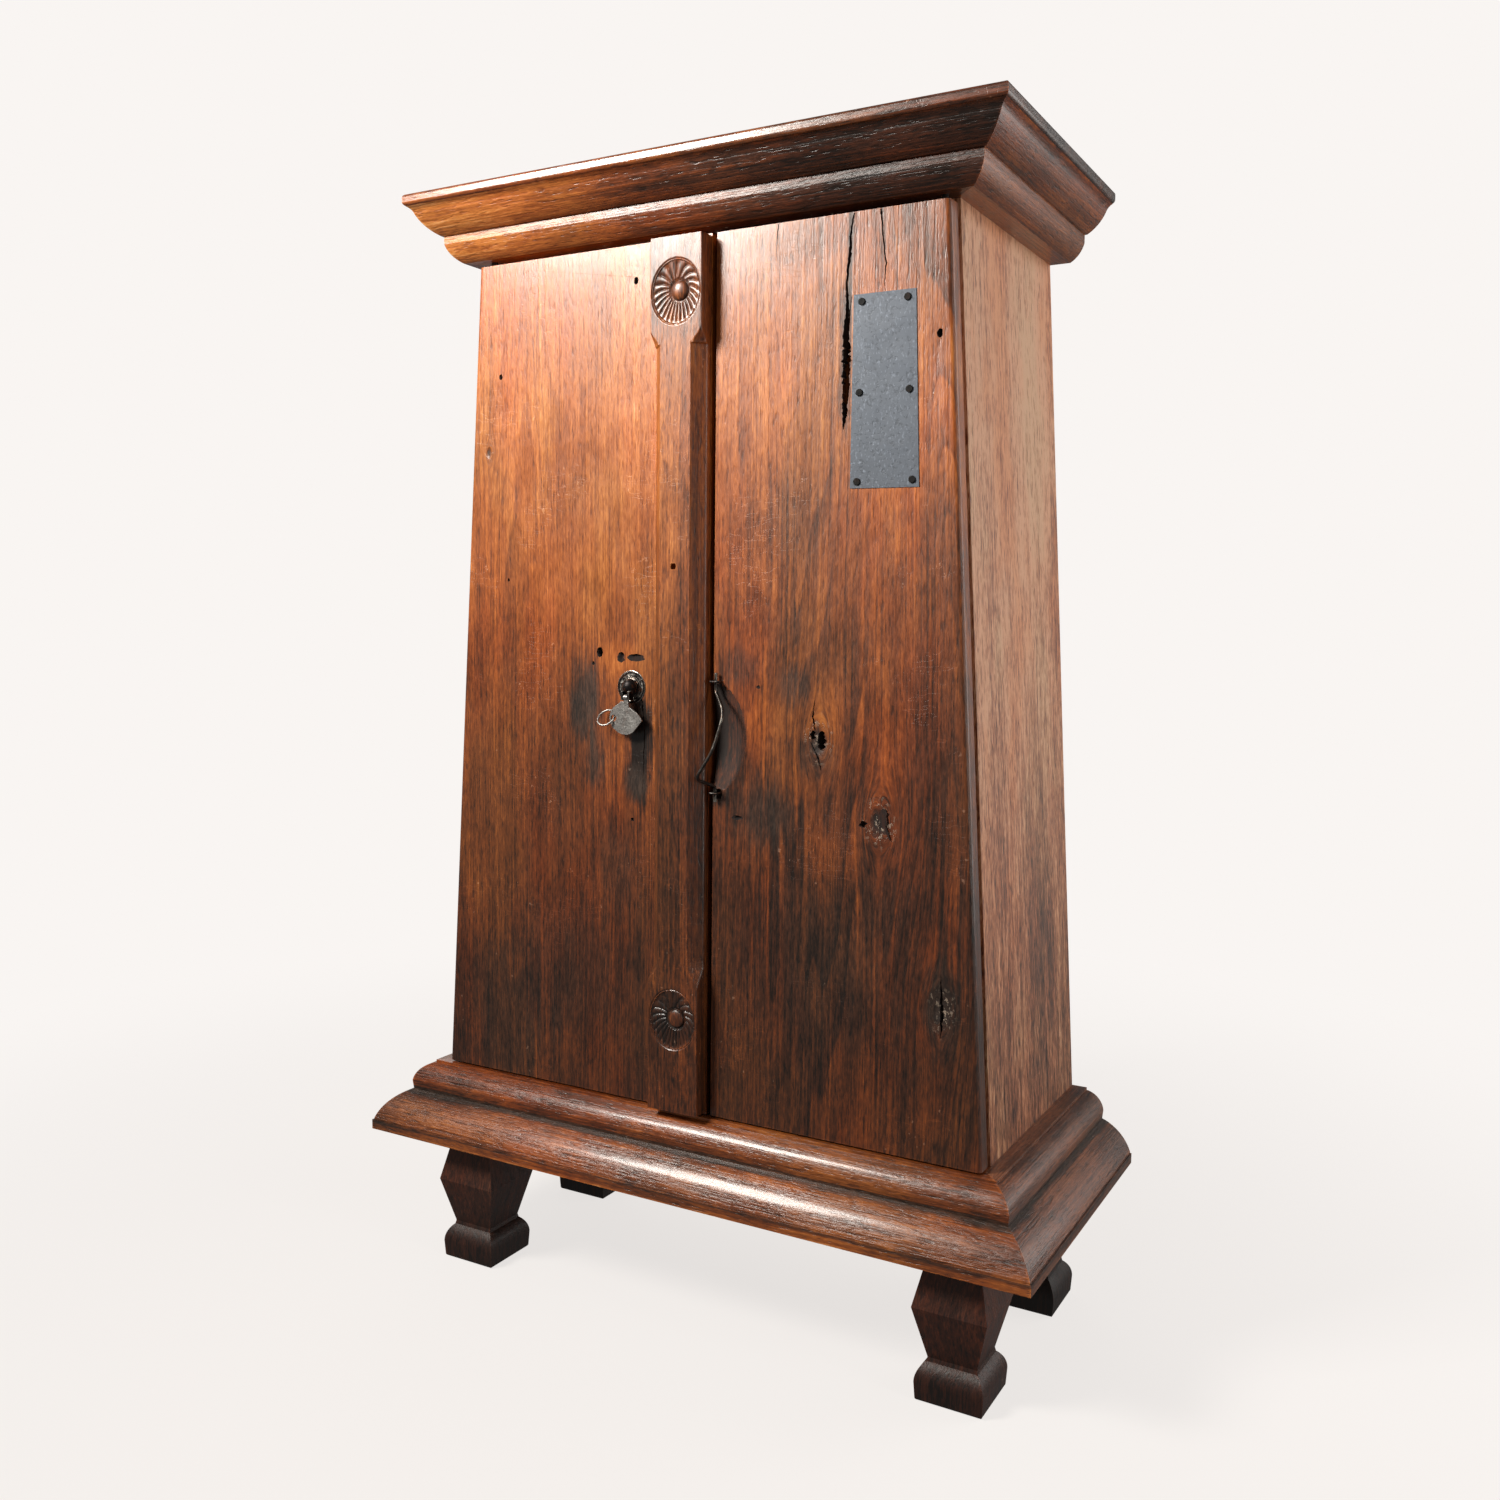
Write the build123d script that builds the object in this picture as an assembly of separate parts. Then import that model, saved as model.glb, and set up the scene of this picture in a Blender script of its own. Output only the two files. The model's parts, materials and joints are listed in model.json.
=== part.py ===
"""Two-door wooden icebox on four feet, with a zinc-lined, cork-insulated inside.

The case is a shallow box that narrows towards the top, so its sides and the outer edges of its doors
lean inwards. Millimetres, +Z up. X runs along the front, and the front faces -Y.

While the pieces are made, Y is the depth behind the door faces and Z the height above the floor.
write() then moves every piece so that the origin is under the middle of the whole object.
"""

from build123d import *
import os

# Overall sizes
FOOT_HEIGHT = 146.5
FRAME_HEIGHT = 44.5  # lower base moulding, a frame of wide planks
TORUS_HEIGHT = 32.5  # upper base moulding
DOOR_HEIGHT = 900.0
DOOR_GAP_LOW = 2.0
DOOR_GAP_TOP = 7.0
CORNICE_HEIGHT = 56.0
TOP_BOARD = 12.5
DEPTH = 299.0  # door faces to back
LOW_HALF = 328.0  # half width of the body at the bottom of the doors
HIGH_HALF = 274.0  # half width at the top of the doors

# Boards
DOOR_THICK = 24.0
DOOR_CLEAR = 3.0  # door backs to the front edges of the case
SIDE_THICK = 20.0
BACK_THICK = 14.0
STILE_THICK = 18.0
CORK = 18.0
ZINC = 1.5

# Mouldings: how far each stands out, and the corner that its mitres run from
BASE_OUT = 69.5
BASE_CORNER = (328.0, 12.0)
PLANK_IN = 70.0
CORNICE_OUT = 68.5
CORNICE_CORNER = (274.0, 22.0)
RAIL_LIP = 8.0  # how far the base rail stands out behind the torus
SIDE_REACH_IN = 6.0  # side lengths reach this far in, to meet the leaning side panels
TOP_ROUND = 4.0

# Heights that follow
FRAME_TOP = FOOT_HEIGHT + FRAME_HEIGHT
LEDGE = FRAME_TOP + TORUS_HEIGHT
DOOR_LOW = LEDGE + DOOR_GAP_LOW
DOOR_TOP = DOOR_LOW + DOOR_HEIGHT
SOFFIT = DOOR_TOP + DOOR_GAP_TOP
CASE_TOP = SOFFIT + CORNICE_HEIGHT
CASE_FRONT = DOOR_THICK + DOOR_CLEAR
STILE_BACK = CASE_FRONT + STILE_THICK
BACK_FACE = DEPTH - BACK_THICK
LINING = CORK + ZINC
SILL = DOOR_LOW + 10.5
LINTEL = DOOR_TOP - 37.5
FLOOR_TOP = FRAME_TOP + 20.0
CASE_CEILING = LINTEL + 24.0
ORIGIN_DEPTH = (DEPTH - (BASE_OUT - BASE_CORNER[1])) / 2

# Doors and their furniture
MEETING = 24.0  # left door's meeting edge
MEETING_GAP = 5.5
PIN_IN = 10.0  # hinge pin axis from a door's outer edge
PIN_DEPTH = 13.5
PIN_RADIUS = 3.5
DOOR_BACK_ROUND = 7.0
DOOR_FRONT_ROUND = 5.0
STRIP_WIDTH = 61.0
STRIP_PROUD = 20.0
STRIP_SHORT = 3.0  # the strip's ends from the door's
CHAMFER = 12.5
CHAMFER_LOW = 138.0  # lower points of the stop chamfers, above the door's bottom
CHAMFER_HIGH = 808.0
STOP_LOW = 20.0  # how long a chamfer takes to fade out
STOP_HIGH = 17.0
ROSETTE_LEVELS = (102.0, 843.0)  # above the door's bottom
DISH = 2.0
BUTTON_RADIUS = 8.0
ROSETTE_RADIUS = 29.0
LATCH = (-71.5, DOOR_LOW + 447.0)
PULL_X = 34.5
PULL_TOP = DOOR_LOW + 456.0
PULL_LOW = DOOR_LOW + 342.0
BOLT_X = 52.0
BOLT_DEPTH = 34.0
BOLT_RADIUS = 4.0
MORTISE = 5.2  # half the width of the square mortises that the bolts slide into
MORTISE_DEEP = 18.0
RUNNING = 0.06  # radial clearance of a pin that turns or slides in a hole
LEAN = (LOW_HALF - HIGH_HALF) / DOOR_HEIGHT

# Inside
PAN_LEVEL = 845.0
SHELF_LEVELS = {"lower_shelf": 430.0, "upper_shelf": 640.0}
CLEAT = 18.0
CLEAT_HEIGHT = 12.0
TUBE = (190.0, 246.0)
TUBE_RADIUS = 8.0
TUBE_WALL = 1.0
RIM = 4.0  # how far a tray's walls turn out

parts = {}


def half(z):
    """Half the body's width at a height."""
    return LOW_HALF - LEAN * (z - DOOR_LOW)


def depth_prism(points, front, back):
    """A solid with an outline in X and Z, from one depth to another."""
    plane = Plane((0, back, 0), x_dir=(1, 0, 0), z_dir=(0, -1, 0))
    return extrude(plane * make_face(Polyline(*points, close=True)), back - front)


def plan_prism(points, low, high):
    """A solid with an outline in plan, from one height to another."""
    return extrude(Pos(0, 0, low) * make_face(Polyline(*points, close=True)), high - low)


def block(x0, x1, y0, y1, z0, z1):
    """A plain rectangular block between two corners."""
    return Pos((x0 + x1) / 2, (y0 + y1) / 2, (z0 + z1) / 2) * Box(x1 - x0, y1 - y0, z1 - z0)


def rod(start, end, radius):
    """A round bar between two points."""
    run = Vector(*end) - Vector(*start)
    return extrude(Plane(start, z_dir=run) * Circle(radius), run.length)


def tapered(inset, front, back, low, high):
    """A board as wide as the body, less an inset on each side."""
    corners = [(-half(low) + inset, low), (half(low) - inset, low)]
    corners += [(half(high) - inset, high), (-half(high) + inset, high)]
    return depth_prism(corners, front, back)


def leaning(outer, inner, front, back, low, high):
    """A right-hand upright that follows the body's lean, between two insets."""
    corners = [(half(low) - inner, low), (half(low) - outer, low)]
    corners += [(half(high) - outer, high), (half(high) - inner, high)]
    return depth_prism(corners, front, back)


def left_of(shape):
    """The mirror image of a right-hand piece."""
    return mirror(shape, about=Plane.YZ)


def pair(name, shape):
    """Store a right-hand piece and its mirror image."""
    parts["right_" + name] = shape
    parts["left_" + name] = left_of(shape)


# ---------------------------------------------------------------- mouldings


def frame_section(inner_low, inner_high):
    """Lower base moulding: a thumb over a small bead and a plain fillet."""
    top = FRAME_HEIGHT
    return Wire([
        Line((inner_low, 0), (BASE_OUT, 0)),
        Line((BASE_OUT, 0), (BASE_OUT, 11.0)),
        Line((BASE_OUT, 11.0), (67.8, 11.0)),
        Line((67.8, 11.0), (67.8, 12.6)),
        ThreePointArc((67.8, 12.6), (56.5, 31.0), (36.0, top)),
        Line((36.0, top), (inner_high, top)),
        Line((inner_high, top), (inner_low, 0)),
    ])


def torus_section(inner_low, inner_high):
    """Upper base moulding: a torus under a narrow ledge."""
    top = TORUS_HEIGHT
    return Wire([
        Line((inner_low, 0), (35.5, 0)),
        Line((35.5, 0), (36.6, 10.0)),
        ThreePointArc((36.6, 10.0), (28.6, 24.4), (18.6, 29.4)),
        Line((18.6, 29.4), (17.0, 29.4)),
        Line((17.0, 29.4), (17.0, top)),
        Line((17.0, top), (inner_high, top)),
        Line((inner_high, top), (inner_low, 0)),
    ])


def cornice_section(inner_low, inner_high):
    """Cornice: an ovolo, a step, and a broad curve that ends in a small hollow."""
    top = CORNICE_HEIGHT
    return Wire([
        Line((inner_low, 0), (22.0, 0)),
        ThreePointArc((22.0, 0), (31.5, 8.0), (37.0, 19.0)),
        Line((37.0, 19.0), (37.0, 27.5)),
        Line((37.0, 27.5), (39.5, 27.5)),
        ThreePointArc((39.5, 27.5), (50.6, 36.0), (59.0, 48.0)),
        ThreePointArc((59.0, 48.0), (61.7, 52.8), (66.0, top)),
        Line((66.0, top), (inner_high, top)),
        Line((inner_high, top), (inner_low, 0)),
    ])


def front_moulding(section, corner, out, inside, low, high, back=0.0):
    """A length of moulding across the front, mitred at both ends."""
    x, y = corner
    reach = x + out
    plane = Plane((reach, y, low), x_dir=(0, -1, 0), z_dir=(-1, 0, 0))
    length = extrude(plane * Face(section(back, back)), 2 * reach)
    plan = [(-reach, y - out), (reach, y - out), (x - inside, y + inside), (inside - x, y + inside)]
    return length & plan_prism(plan, low, high)


def side_moulding(section, corner, out, inside, low, high, inner):
    """A right-hand length of moulding, mitred at the front."""
    x, y = corner
    plane = Plane((x, DEPTH, low), x_dir=(1, 0, 0), z_dir=(0, -1, 0))
    length = extrude(plane * Face(section(*inner)), DEPTH - y + out)
    plan = [(x + out, y - out), (x + out, DEPTH), (x - inside, DEPTH), (x - inside, y + inside)]
    return length & plan_prism(plan, low, high)


def pair_of_sides(name, side):
    """Store a right-hand side length and its mirror image."""
    parts[name + "_right"] = side
    parts[name + "_left"] = left_of(side)


def mouldings():
    # The base frame is made of planks that reach in under the case.
    parts["base_frame_front"] = front_moulding(
        frame_section, BASE_CORNER, BASE_OUT, PLANK_IN, FOOT_HEIGHT, FRAME_TOP, -PLANK_IN)
    pair_of_sides("base_frame", side_moulding(
        frame_section, BASE_CORNER, BASE_OUT, PLANK_IN, FOOT_HEIGHT, FRAME_TOP, (-PLANK_IN, -PLANK_IN)))
    inner_x = BASE_CORNER[0] - PLANK_IN
    parts["base_frame_rear"] = block(-inner_x, inner_x, DEPTH - PLANK_IN, DEPTH, FOOT_HEIGHT, FRAME_TOP)

    # The torus and the cornice are planted on the front rails and the leaning side panels.
    planted = [
        ("base_torus", torus_section, BASE_CORNER, BASE_OUT, FRAME_TOP, LEDGE, RAIL_LIP),
        ("cornice", cornice_section, CORNICE_CORNER, CORNICE_OUT, SOFFIT, CASE_TOP, 0.0),
    ]
    for name, section, corner, out, low, high, front_back in planted:
        parts[name + "_front"] = front_moulding(section, corner, out, 0.0, low, high, front_back)
        inner = (half(low) - corner[0], half(high) - corner[0])
        side = side_moulding(section, corner, out, SIDE_REACH_IN, low, high, inner)
        pair_of_sides(name, side - block(0, corner[0], 0, corner[1], low, high))

    x, y = CORNICE_CORNER
    reach = x + CORNICE_OUT
    board = block(-reach, reach, y - CORNICE_OUT, DEPTH, CASE_TOP, CASE_TOP + TOP_BOARD)
    level = [e for e in board.edges() if abs(e.center().Z - CASE_TOP - TOP_BOARD / 2) > 1]
    parts["top_board"] = fillet([e for e in level if e.center().Y < DEPTH - 1], TOP_ROUND)


# ---------------------------------------------------------------- feet


FOOT_RIGHT = 311.0
FOOT_LEFT = -279.0
FOOT_FRONT = 6.0
FOOT_REAR = 226.0
TENON_RADIUS = 12.0
TENON = 30.0


def foot_outline():
    """Half outline of a square baluster foot: pad, ankle, crease and neck."""
    pad = 34.0
    ankle = 25.0
    crease = 38.0
    neck = 26.0
    return [
        Line((0, 0), (pad - 3, 0)),
        ThreePointArc((pad - 3, 0), (pad - 0.9, 0.9), (pad, 3)),
        Line((pad, 3), (pad + 1, 19)),
        ThreePointArc((pad + 1, 19), (pad - 2.2, 31), (ankle + 1, 38)),
        Line((ankle + 1, 38), (ankle, 42)),
        Line((ankle, 42), (crease, 94)),
        Line((crease, 94), (neck, FOOT_HEIGHT)),
        Line((neck, FOOT_HEIGHT), (0, FOOT_HEIGHT)),
        Line((0, FOOT_HEIGHT), (0, 0)),
    ]


def square_turned(edges, width):
    """A square solid whose four faces all follow one half outline."""
    across = Plane((0, width, 0), x_dir=(1, 0, 0), z_dir=(0, -1, 0))
    right = extrude(across * Face(Wire(edges)), 2 * width)
    silhouette = right + mirror(right, about=Plane.YZ)
    return silhouette & Rot(0, 0, 90) * silhouette


def feet():
    tenon = Pos(0, 0, FOOT_HEIGHT + TENON / 2) * Cylinder(TENON_RADIUS, TENON)
    foot = square_turned(foot_outline(), 60.0) + tenon
    places = {
        "front_left_foot": (FOOT_LEFT, FOOT_FRONT, "base_frame_front"),
        "front_right_foot": (FOOT_RIGHT, FOOT_FRONT, "base_frame_front"),
        "rear_left_foot": (FOOT_LEFT, FOOT_REAR, "base_frame_left"),
        "rear_right_foot": (FOOT_RIGHT, FOOT_REAR, "base_frame_right"),
    }
    for name, (x, y, plank) in places.items():
        parts[name] = Pos(x, y, 0) * foot
        parts[plank] -= Pos(x, y, 0) * tenon


# ---------------------------------------------------------------- case


def case():
    pair("side", leaning(0, SIDE_THICK, CASE_FRONT, DEPTH, FRAME_TOP, CASE_TOP))
    pair("stile", leaning(SIDE_THICK, SIDE_THICK + 26.0, CASE_FRONT, STILE_BACK, SILL, LINTEL))

    x, y = BASE_CORNER
    lip = RAIL_LIP
    plan = [(-x - lip, y - lip), (x + lip, y - lip), (x, y), (x, CASE_FRONT), (-x, CASE_FRONT), (-x, y)]
    rail = plan_prism(plan, FRAME_TOP, LEDGE)
    parts["base_rail"] = rail + tapered(SIDE_THICK, CASE_FRONT, STILE_BACK, FRAME_TOP, SILL)

    rail = tapered(0, CORNICE_CORNER[1], CASE_FRONT, SOFFIT, CASE_TOP)
    parts["cornice_rail"] = rail + tapered(SIDE_THICK, CASE_FRONT, STILE_BACK, LINTEL, CASE_TOP)

    parts["floor_board"] = tapered(SIDE_THICK, STILE_BACK, BACK_FACE, FRAME_TOP, FLOOR_TOP)
    parts["ceiling_board"] = tapered(SIDE_THICK, STILE_BACK, BACK_FACE, CASE_CEILING, CASE_CEILING + 18.0)

    boards = tapered(SIDE_THICK, BACK_FACE, DEPTH, FRAME_TOP, CASE_TOP)
    for seam in (-150.0, 0.0, 150.0):
        boards -= block(seam - 0.4, seam + 0.4, BACK_FACE - 1, DEPTH + 1, 0, CASE_TOP + 1)
        groove = Pos(seam, DEPTH, (FRAME_TOP + CASE_TOP) / 2) * Rot(0, 0, 45) * Box(4, 4, CASE_TOP)
        boards -= groove
    parts["back_boards"] = boards


def lining():
    """Cork slabs against the case, and a liner of zinc sheets over them."""
    back = BACK_FACE - LINING
    floor = FLOOR_TOP + CORK
    ceiling = CASE_CEILING - CORK
    inset = SIDE_THICK + CORK
    for name, outer, inner in (("cork", SIDE_THICK, inset), ("liner", inset, inset + ZINC)):
        pair_of_sides(name, leaning(outer, inner, STILE_BACK, BACK_FACE - CORK, floor, ceiling))
    parts["cork_back"] = tapered(SIDE_THICK, BACK_FACE - CORK, BACK_FACE, floor, ceiling)
    parts["liner_back"] = tapered(inset + ZINC, back, BACK_FACE - CORK, floor, ceiling)
    parts["cork_floor"] = tapered(SIDE_THICK, STILE_BACK, BACK_FACE, FLOOR_TOP, floor)
    parts["cork_ceiling"] = tapered(SIDE_THICK, STILE_BACK, BACK_FACE, ceiling, CASE_CEILING)
    parts["liner_floor"] = tapered(inset + ZINC, STILE_BACK, back, floor, floor + ZINC)
    parts["liner_ceiling"] = tapered(inset + ZINC, STILE_BACK, back, ceiling - ZINC, ceiling)


# ---------------------------------------------------------------- inside


def tray(x0, x1, y0, y1, z, height):
    """The floor and the four walls of an open tray, soldered from sheets turned out at the rim."""
    top = z + height
    sheets = [block(x0, x1, y0, y1, z, z + ZINC)]
    for wall, rim in ((y0, y0 - RIM), (y1 - ZINC, y1)):
        sheet = block(x0, x1, wall, wall + ZINC, z + ZINC, top)
        sheets.append(sheet + block(x0 - RIM, x1 + RIM, rim, rim + RIM, top - ZINC, top))
    for wall, rim in ((x0, x0 - RIM), (x1 - ZINC, x1)):
        sheet = block(wall, wall + ZINC, y0 + ZINC, y1 - ZINC, z + ZINC, top)
        sheets.append(sheet + block(rim, rim + RIM, y0, y1, top - ZINC, top))
    return sheets


def slatted_shelf(z, front, back):
    """Seven slats on two bearers."""
    slat = 22.0
    step = (back - front - slat) / 6
    reach = half(z) - SIDE_THICK - LINING - 4.0
    shelf = []
    for i in range(7):
        start = front + i * step
        shelf.append(block(-reach, reach, start, start + slat, z, z + 10))
    for x in (-0.55 * reach, 0.55 * reach):
        shelf.append(block(x - 15, x + 15, front, back, z - 12, z))
    return Compound(children=shelf)


def inside():
    cleats = []
    levels = list(SHELF_LEVELS.values()) + [PAN_LEVEL]
    wall = SIDE_THICK + LINING
    for z in levels:
        cleat = leaning(wall, wall + CLEAT, 55.0, 240.0, z - CLEAT_HEIGHT, z)
        cleats += [cleat, left_of(cleat)]
    parts["cleats"] = Compound(children=cleats)
    for name, z in SHELF_LEVELS.items():
        parts[name] = slatted_shelf(z, 52.0, 232.0)

    x, y = TUBE
    pan_half = half(PAN_LEVEL) - wall - 14.0
    pan = tray(-pan_half, pan_half, 60.0, 258.0, PAN_LEVEL, 60.0)
    bore = TUBE_RADIUS - TUBE_WALL
    pan[0] -= Pos(x, y, PAN_LEVEL) * Cylinder(bore, 20)
    parts["ice_pan"] = Compound(children=pan)
    floor = FLOOR_TOP + LINING
    tube_low = floor + 24.0
    tube_length = PAN_LEVEL - tube_low
    tube = Cylinder(TUBE_RADIUS, tube_length) - Cylinder(bore, 2 * tube_length)
    parts["drain_tube"] = Pos(x, y, tube_low + tube_length / 2) * tube
    parts["drip_pan"] = Compound(children=tray(74.0, 240.0, 64.0, 258.0, floor, 38.0))


# ---------------------------------------------------------------- doors


def pin_axis(z):
    """X of the right-hand hinge axis at a height."""
    return half(z) - PIN_IN


def pin_run(low, high, radius):
    """A round bar along the right-hand hinge axis."""
    return rod((pin_axis(low), PIN_DEPTH, low), (pin_axis(high), PIN_DEPTH, high), radius)


def right_hand_board(meeting):
    """A door board that hangs on its right edge, with its edges rounded."""
    hanging = [(half(DOOR_LOW), DOOR_LOW), (half(DOOR_TOP), DOOR_TOP)]
    corners = [(meeting, DOOR_LOW), *hanging, (meeting, DOOR_TOP)]
    board = depth_prism(corners, 0, DOOR_THICK)
    for at_back, radius in ((True, DOOR_BACK_ROUND), (False, DOOR_FRONT_ROUND)):
        upright = [e for e in board.edges() if e.length > DOOR_HEIGHT - 1 and e.center().X > HIGH_HALF / 2]
        board = fillet([e for e in upright if (e.center().Y > DOOR_THICK / 2) == at_back], radius)
    depth = 28.0
    for low, high in ((DOOR_LOW - 5, DOOR_LOW + depth), (DOOR_TOP - depth, DOOR_TOP + 5)):
        board -= pin_run(low, high, PIN_RADIUS + RUNNING)
    return board


def doors():
    parts["left_door"] = left_of(right_hand_board(-MEETING))
    door = right_hand_board(MEETING + MEETING_GAP)

    # A shallow hollow worn by fingers, and a deeper notch behind the pull.
    edge = MEETING + MEETING_GAP
    middle = (PULL_TOP + PULL_LOW) / 2
    tall = (PULL_TOP - PULL_LOW) / 2
    barrel = Face(Wire([
        Line((0, -tall), (84.4, -tall)),
        ThreePointArc((84.4, -tall), (93.0, 0), (84.4, tall)),
        Line((84.4, tall), (0, tall)),
        Line((0, tall), (0, -tall)),
    ]))
    door -= Pos(edge, -84.4, middle) * revolve(Plane.XZ * barrel, Axis.Z)
    notch = Face(Wire([
        Line((0, -50), (0, 50)),
        ThreePointArc((0, 50), (13.0, 6), (0, -50)),
    ]))
    notch_plane = Plane((edge, 17.0, middle), x_dir=(1, 0, 0), z_dir=(0, -1, 0))
    door -= extrude(notch_plane * notch, 20.0)

    # An open shake in the board, widest at its lower end.
    shake = [(171.6, 706), (174.2, 728), (173.2, 756), (175.4, 790), (177.6, 826), (175.8, 812)]
    shake += [(172.4, 788), (170.2, 762), (169.4, 734)]
    door -= depth_prism([(x, DOOR_LOW + z) for x, z in shake], -1, 15.0)
    parts["right_door"] = door

    ledges = [DOOR_LOW + 118.0, DOOR_LOW + 760.0]
    thick = 14.0
    for side, meeting, sign in (("left", -MEETING + 30, -1), ("right", edge + 46, 1)):
        group = []
        for z in ledges:
            corners = [(meeting, z), (half(z) - 60, z), (half(z + 60) - 60, z + 60), (meeting, z + 60)]
            ledge = depth_prism(corners, DOOR_THICK, DOOR_THICK + thick)
            group.append(ledge if sign > 0 else left_of(ledge))
        parts[side + "_battens"] = Compound(children=group)

    pins = []
    reach = 27.0  # into the door
    hold = 20.0  # into the rail or the cornice
    ends = [(LEDGE - hold, DOOR_LOW + reach, "base_rail"), (DOOR_TOP - reach, SOFFIT + hold, "cornice_front")]
    for low, high, holder in ends:
        pin = pin_run(low, high, PIN_RADIUS)
        pins += [pin, left_of(pin)]
        parts[holder] = parts[holder] - pin - left_of(pin)
    parts["hinge_pins"] = Compound(children=pins)


def chamfer_section(x, toward, z, size):
    """The corner that a chamfer takes off, at one height."""
    plane = Plane((x, -STRIP_PROUD, z), x_dir=(1, 0, 0), z_dir=(0, 0, 1))
    return plane * make_face(Polyline((0, 0), (size * toward, 0), (0, size), close=True))


def strip():
    """The proud strip on the left door: rosette blocks, and stop-chamfered edges between them."""
    left = MEETING - STRIP_WIDTH
    body = block(left, MEETING, -STRIP_PROUD, 0, DOOR_LOW + STRIP_SHORT, DOOR_TOP - STRIP_SHORT)
    low = DOOR_LOW + CHAMFER_LOW
    high = DOOR_LOW + CHAMFER_HIGH
    point = 0.1
    for x, toward in ((left, 1), (MEETING, -1)):
        full = chamfer_section(x, toward, low + STOP_LOW, CHAMFER)
        body -= extrude(full, high - STOP_HIGH - low - STOP_LOW)
        for start, end in ((low + STOP_LOW, low), (high - STOP_HIGH, high)):
            wide = chamfer_section(x, toward, start, CHAMFER)
            body -= loft([wide, chamfer_section(x, toward, end, point)])
    centre = (left + MEETING) / 2
    for z in ROSETTE_LEVELS:
        face = Plane((centre, -STRIP_PROUD, DOOR_LOW + z), x_dir=(1, 0, 0), z_dir=(0, -1, 0))
        body -= extrude(face * (Circle(ROSETTE_RADIUS) - Circle(BUTTON_RADIUS)), -DISH)
    parts["center_strip"] = body


def patch():
    """Sheet-metal patch over the shake, and its nails."""
    outline = [(180.0, 824.0), (243.2, 823.8), (250.0, 643.5), (179.2, 644.5)]
    sheet = 0.8
    parts["patch_plate"] = depth_prism([(x, DOOR_LOW + z) for x, z in outline], -sheet, 0)
    nails = []
    for z, left, right in ((817.0, 188.5, 235.0), (733.5, 187.5, 238.5), (650.5, 186.5, 243.0)):
        for x in (left, right):
            shank = rod((x, 14.0, DOOR_LOW + z), (x, -sheet, DOOR_LOW + z), 1.1)
            head = rod((x, -sheet, DOOR_LOW + z), (x, -sheet - 1.3, DOOR_LOW + z), 3.6)
            nails.append(shank + head)
            parts["patch_plate"] -= shank
            parts["right_door"] -= shank
    parts["patch_nails"] = Compound(children=nails)


# ---------------------------------------------------------------- iron furniture


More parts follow.
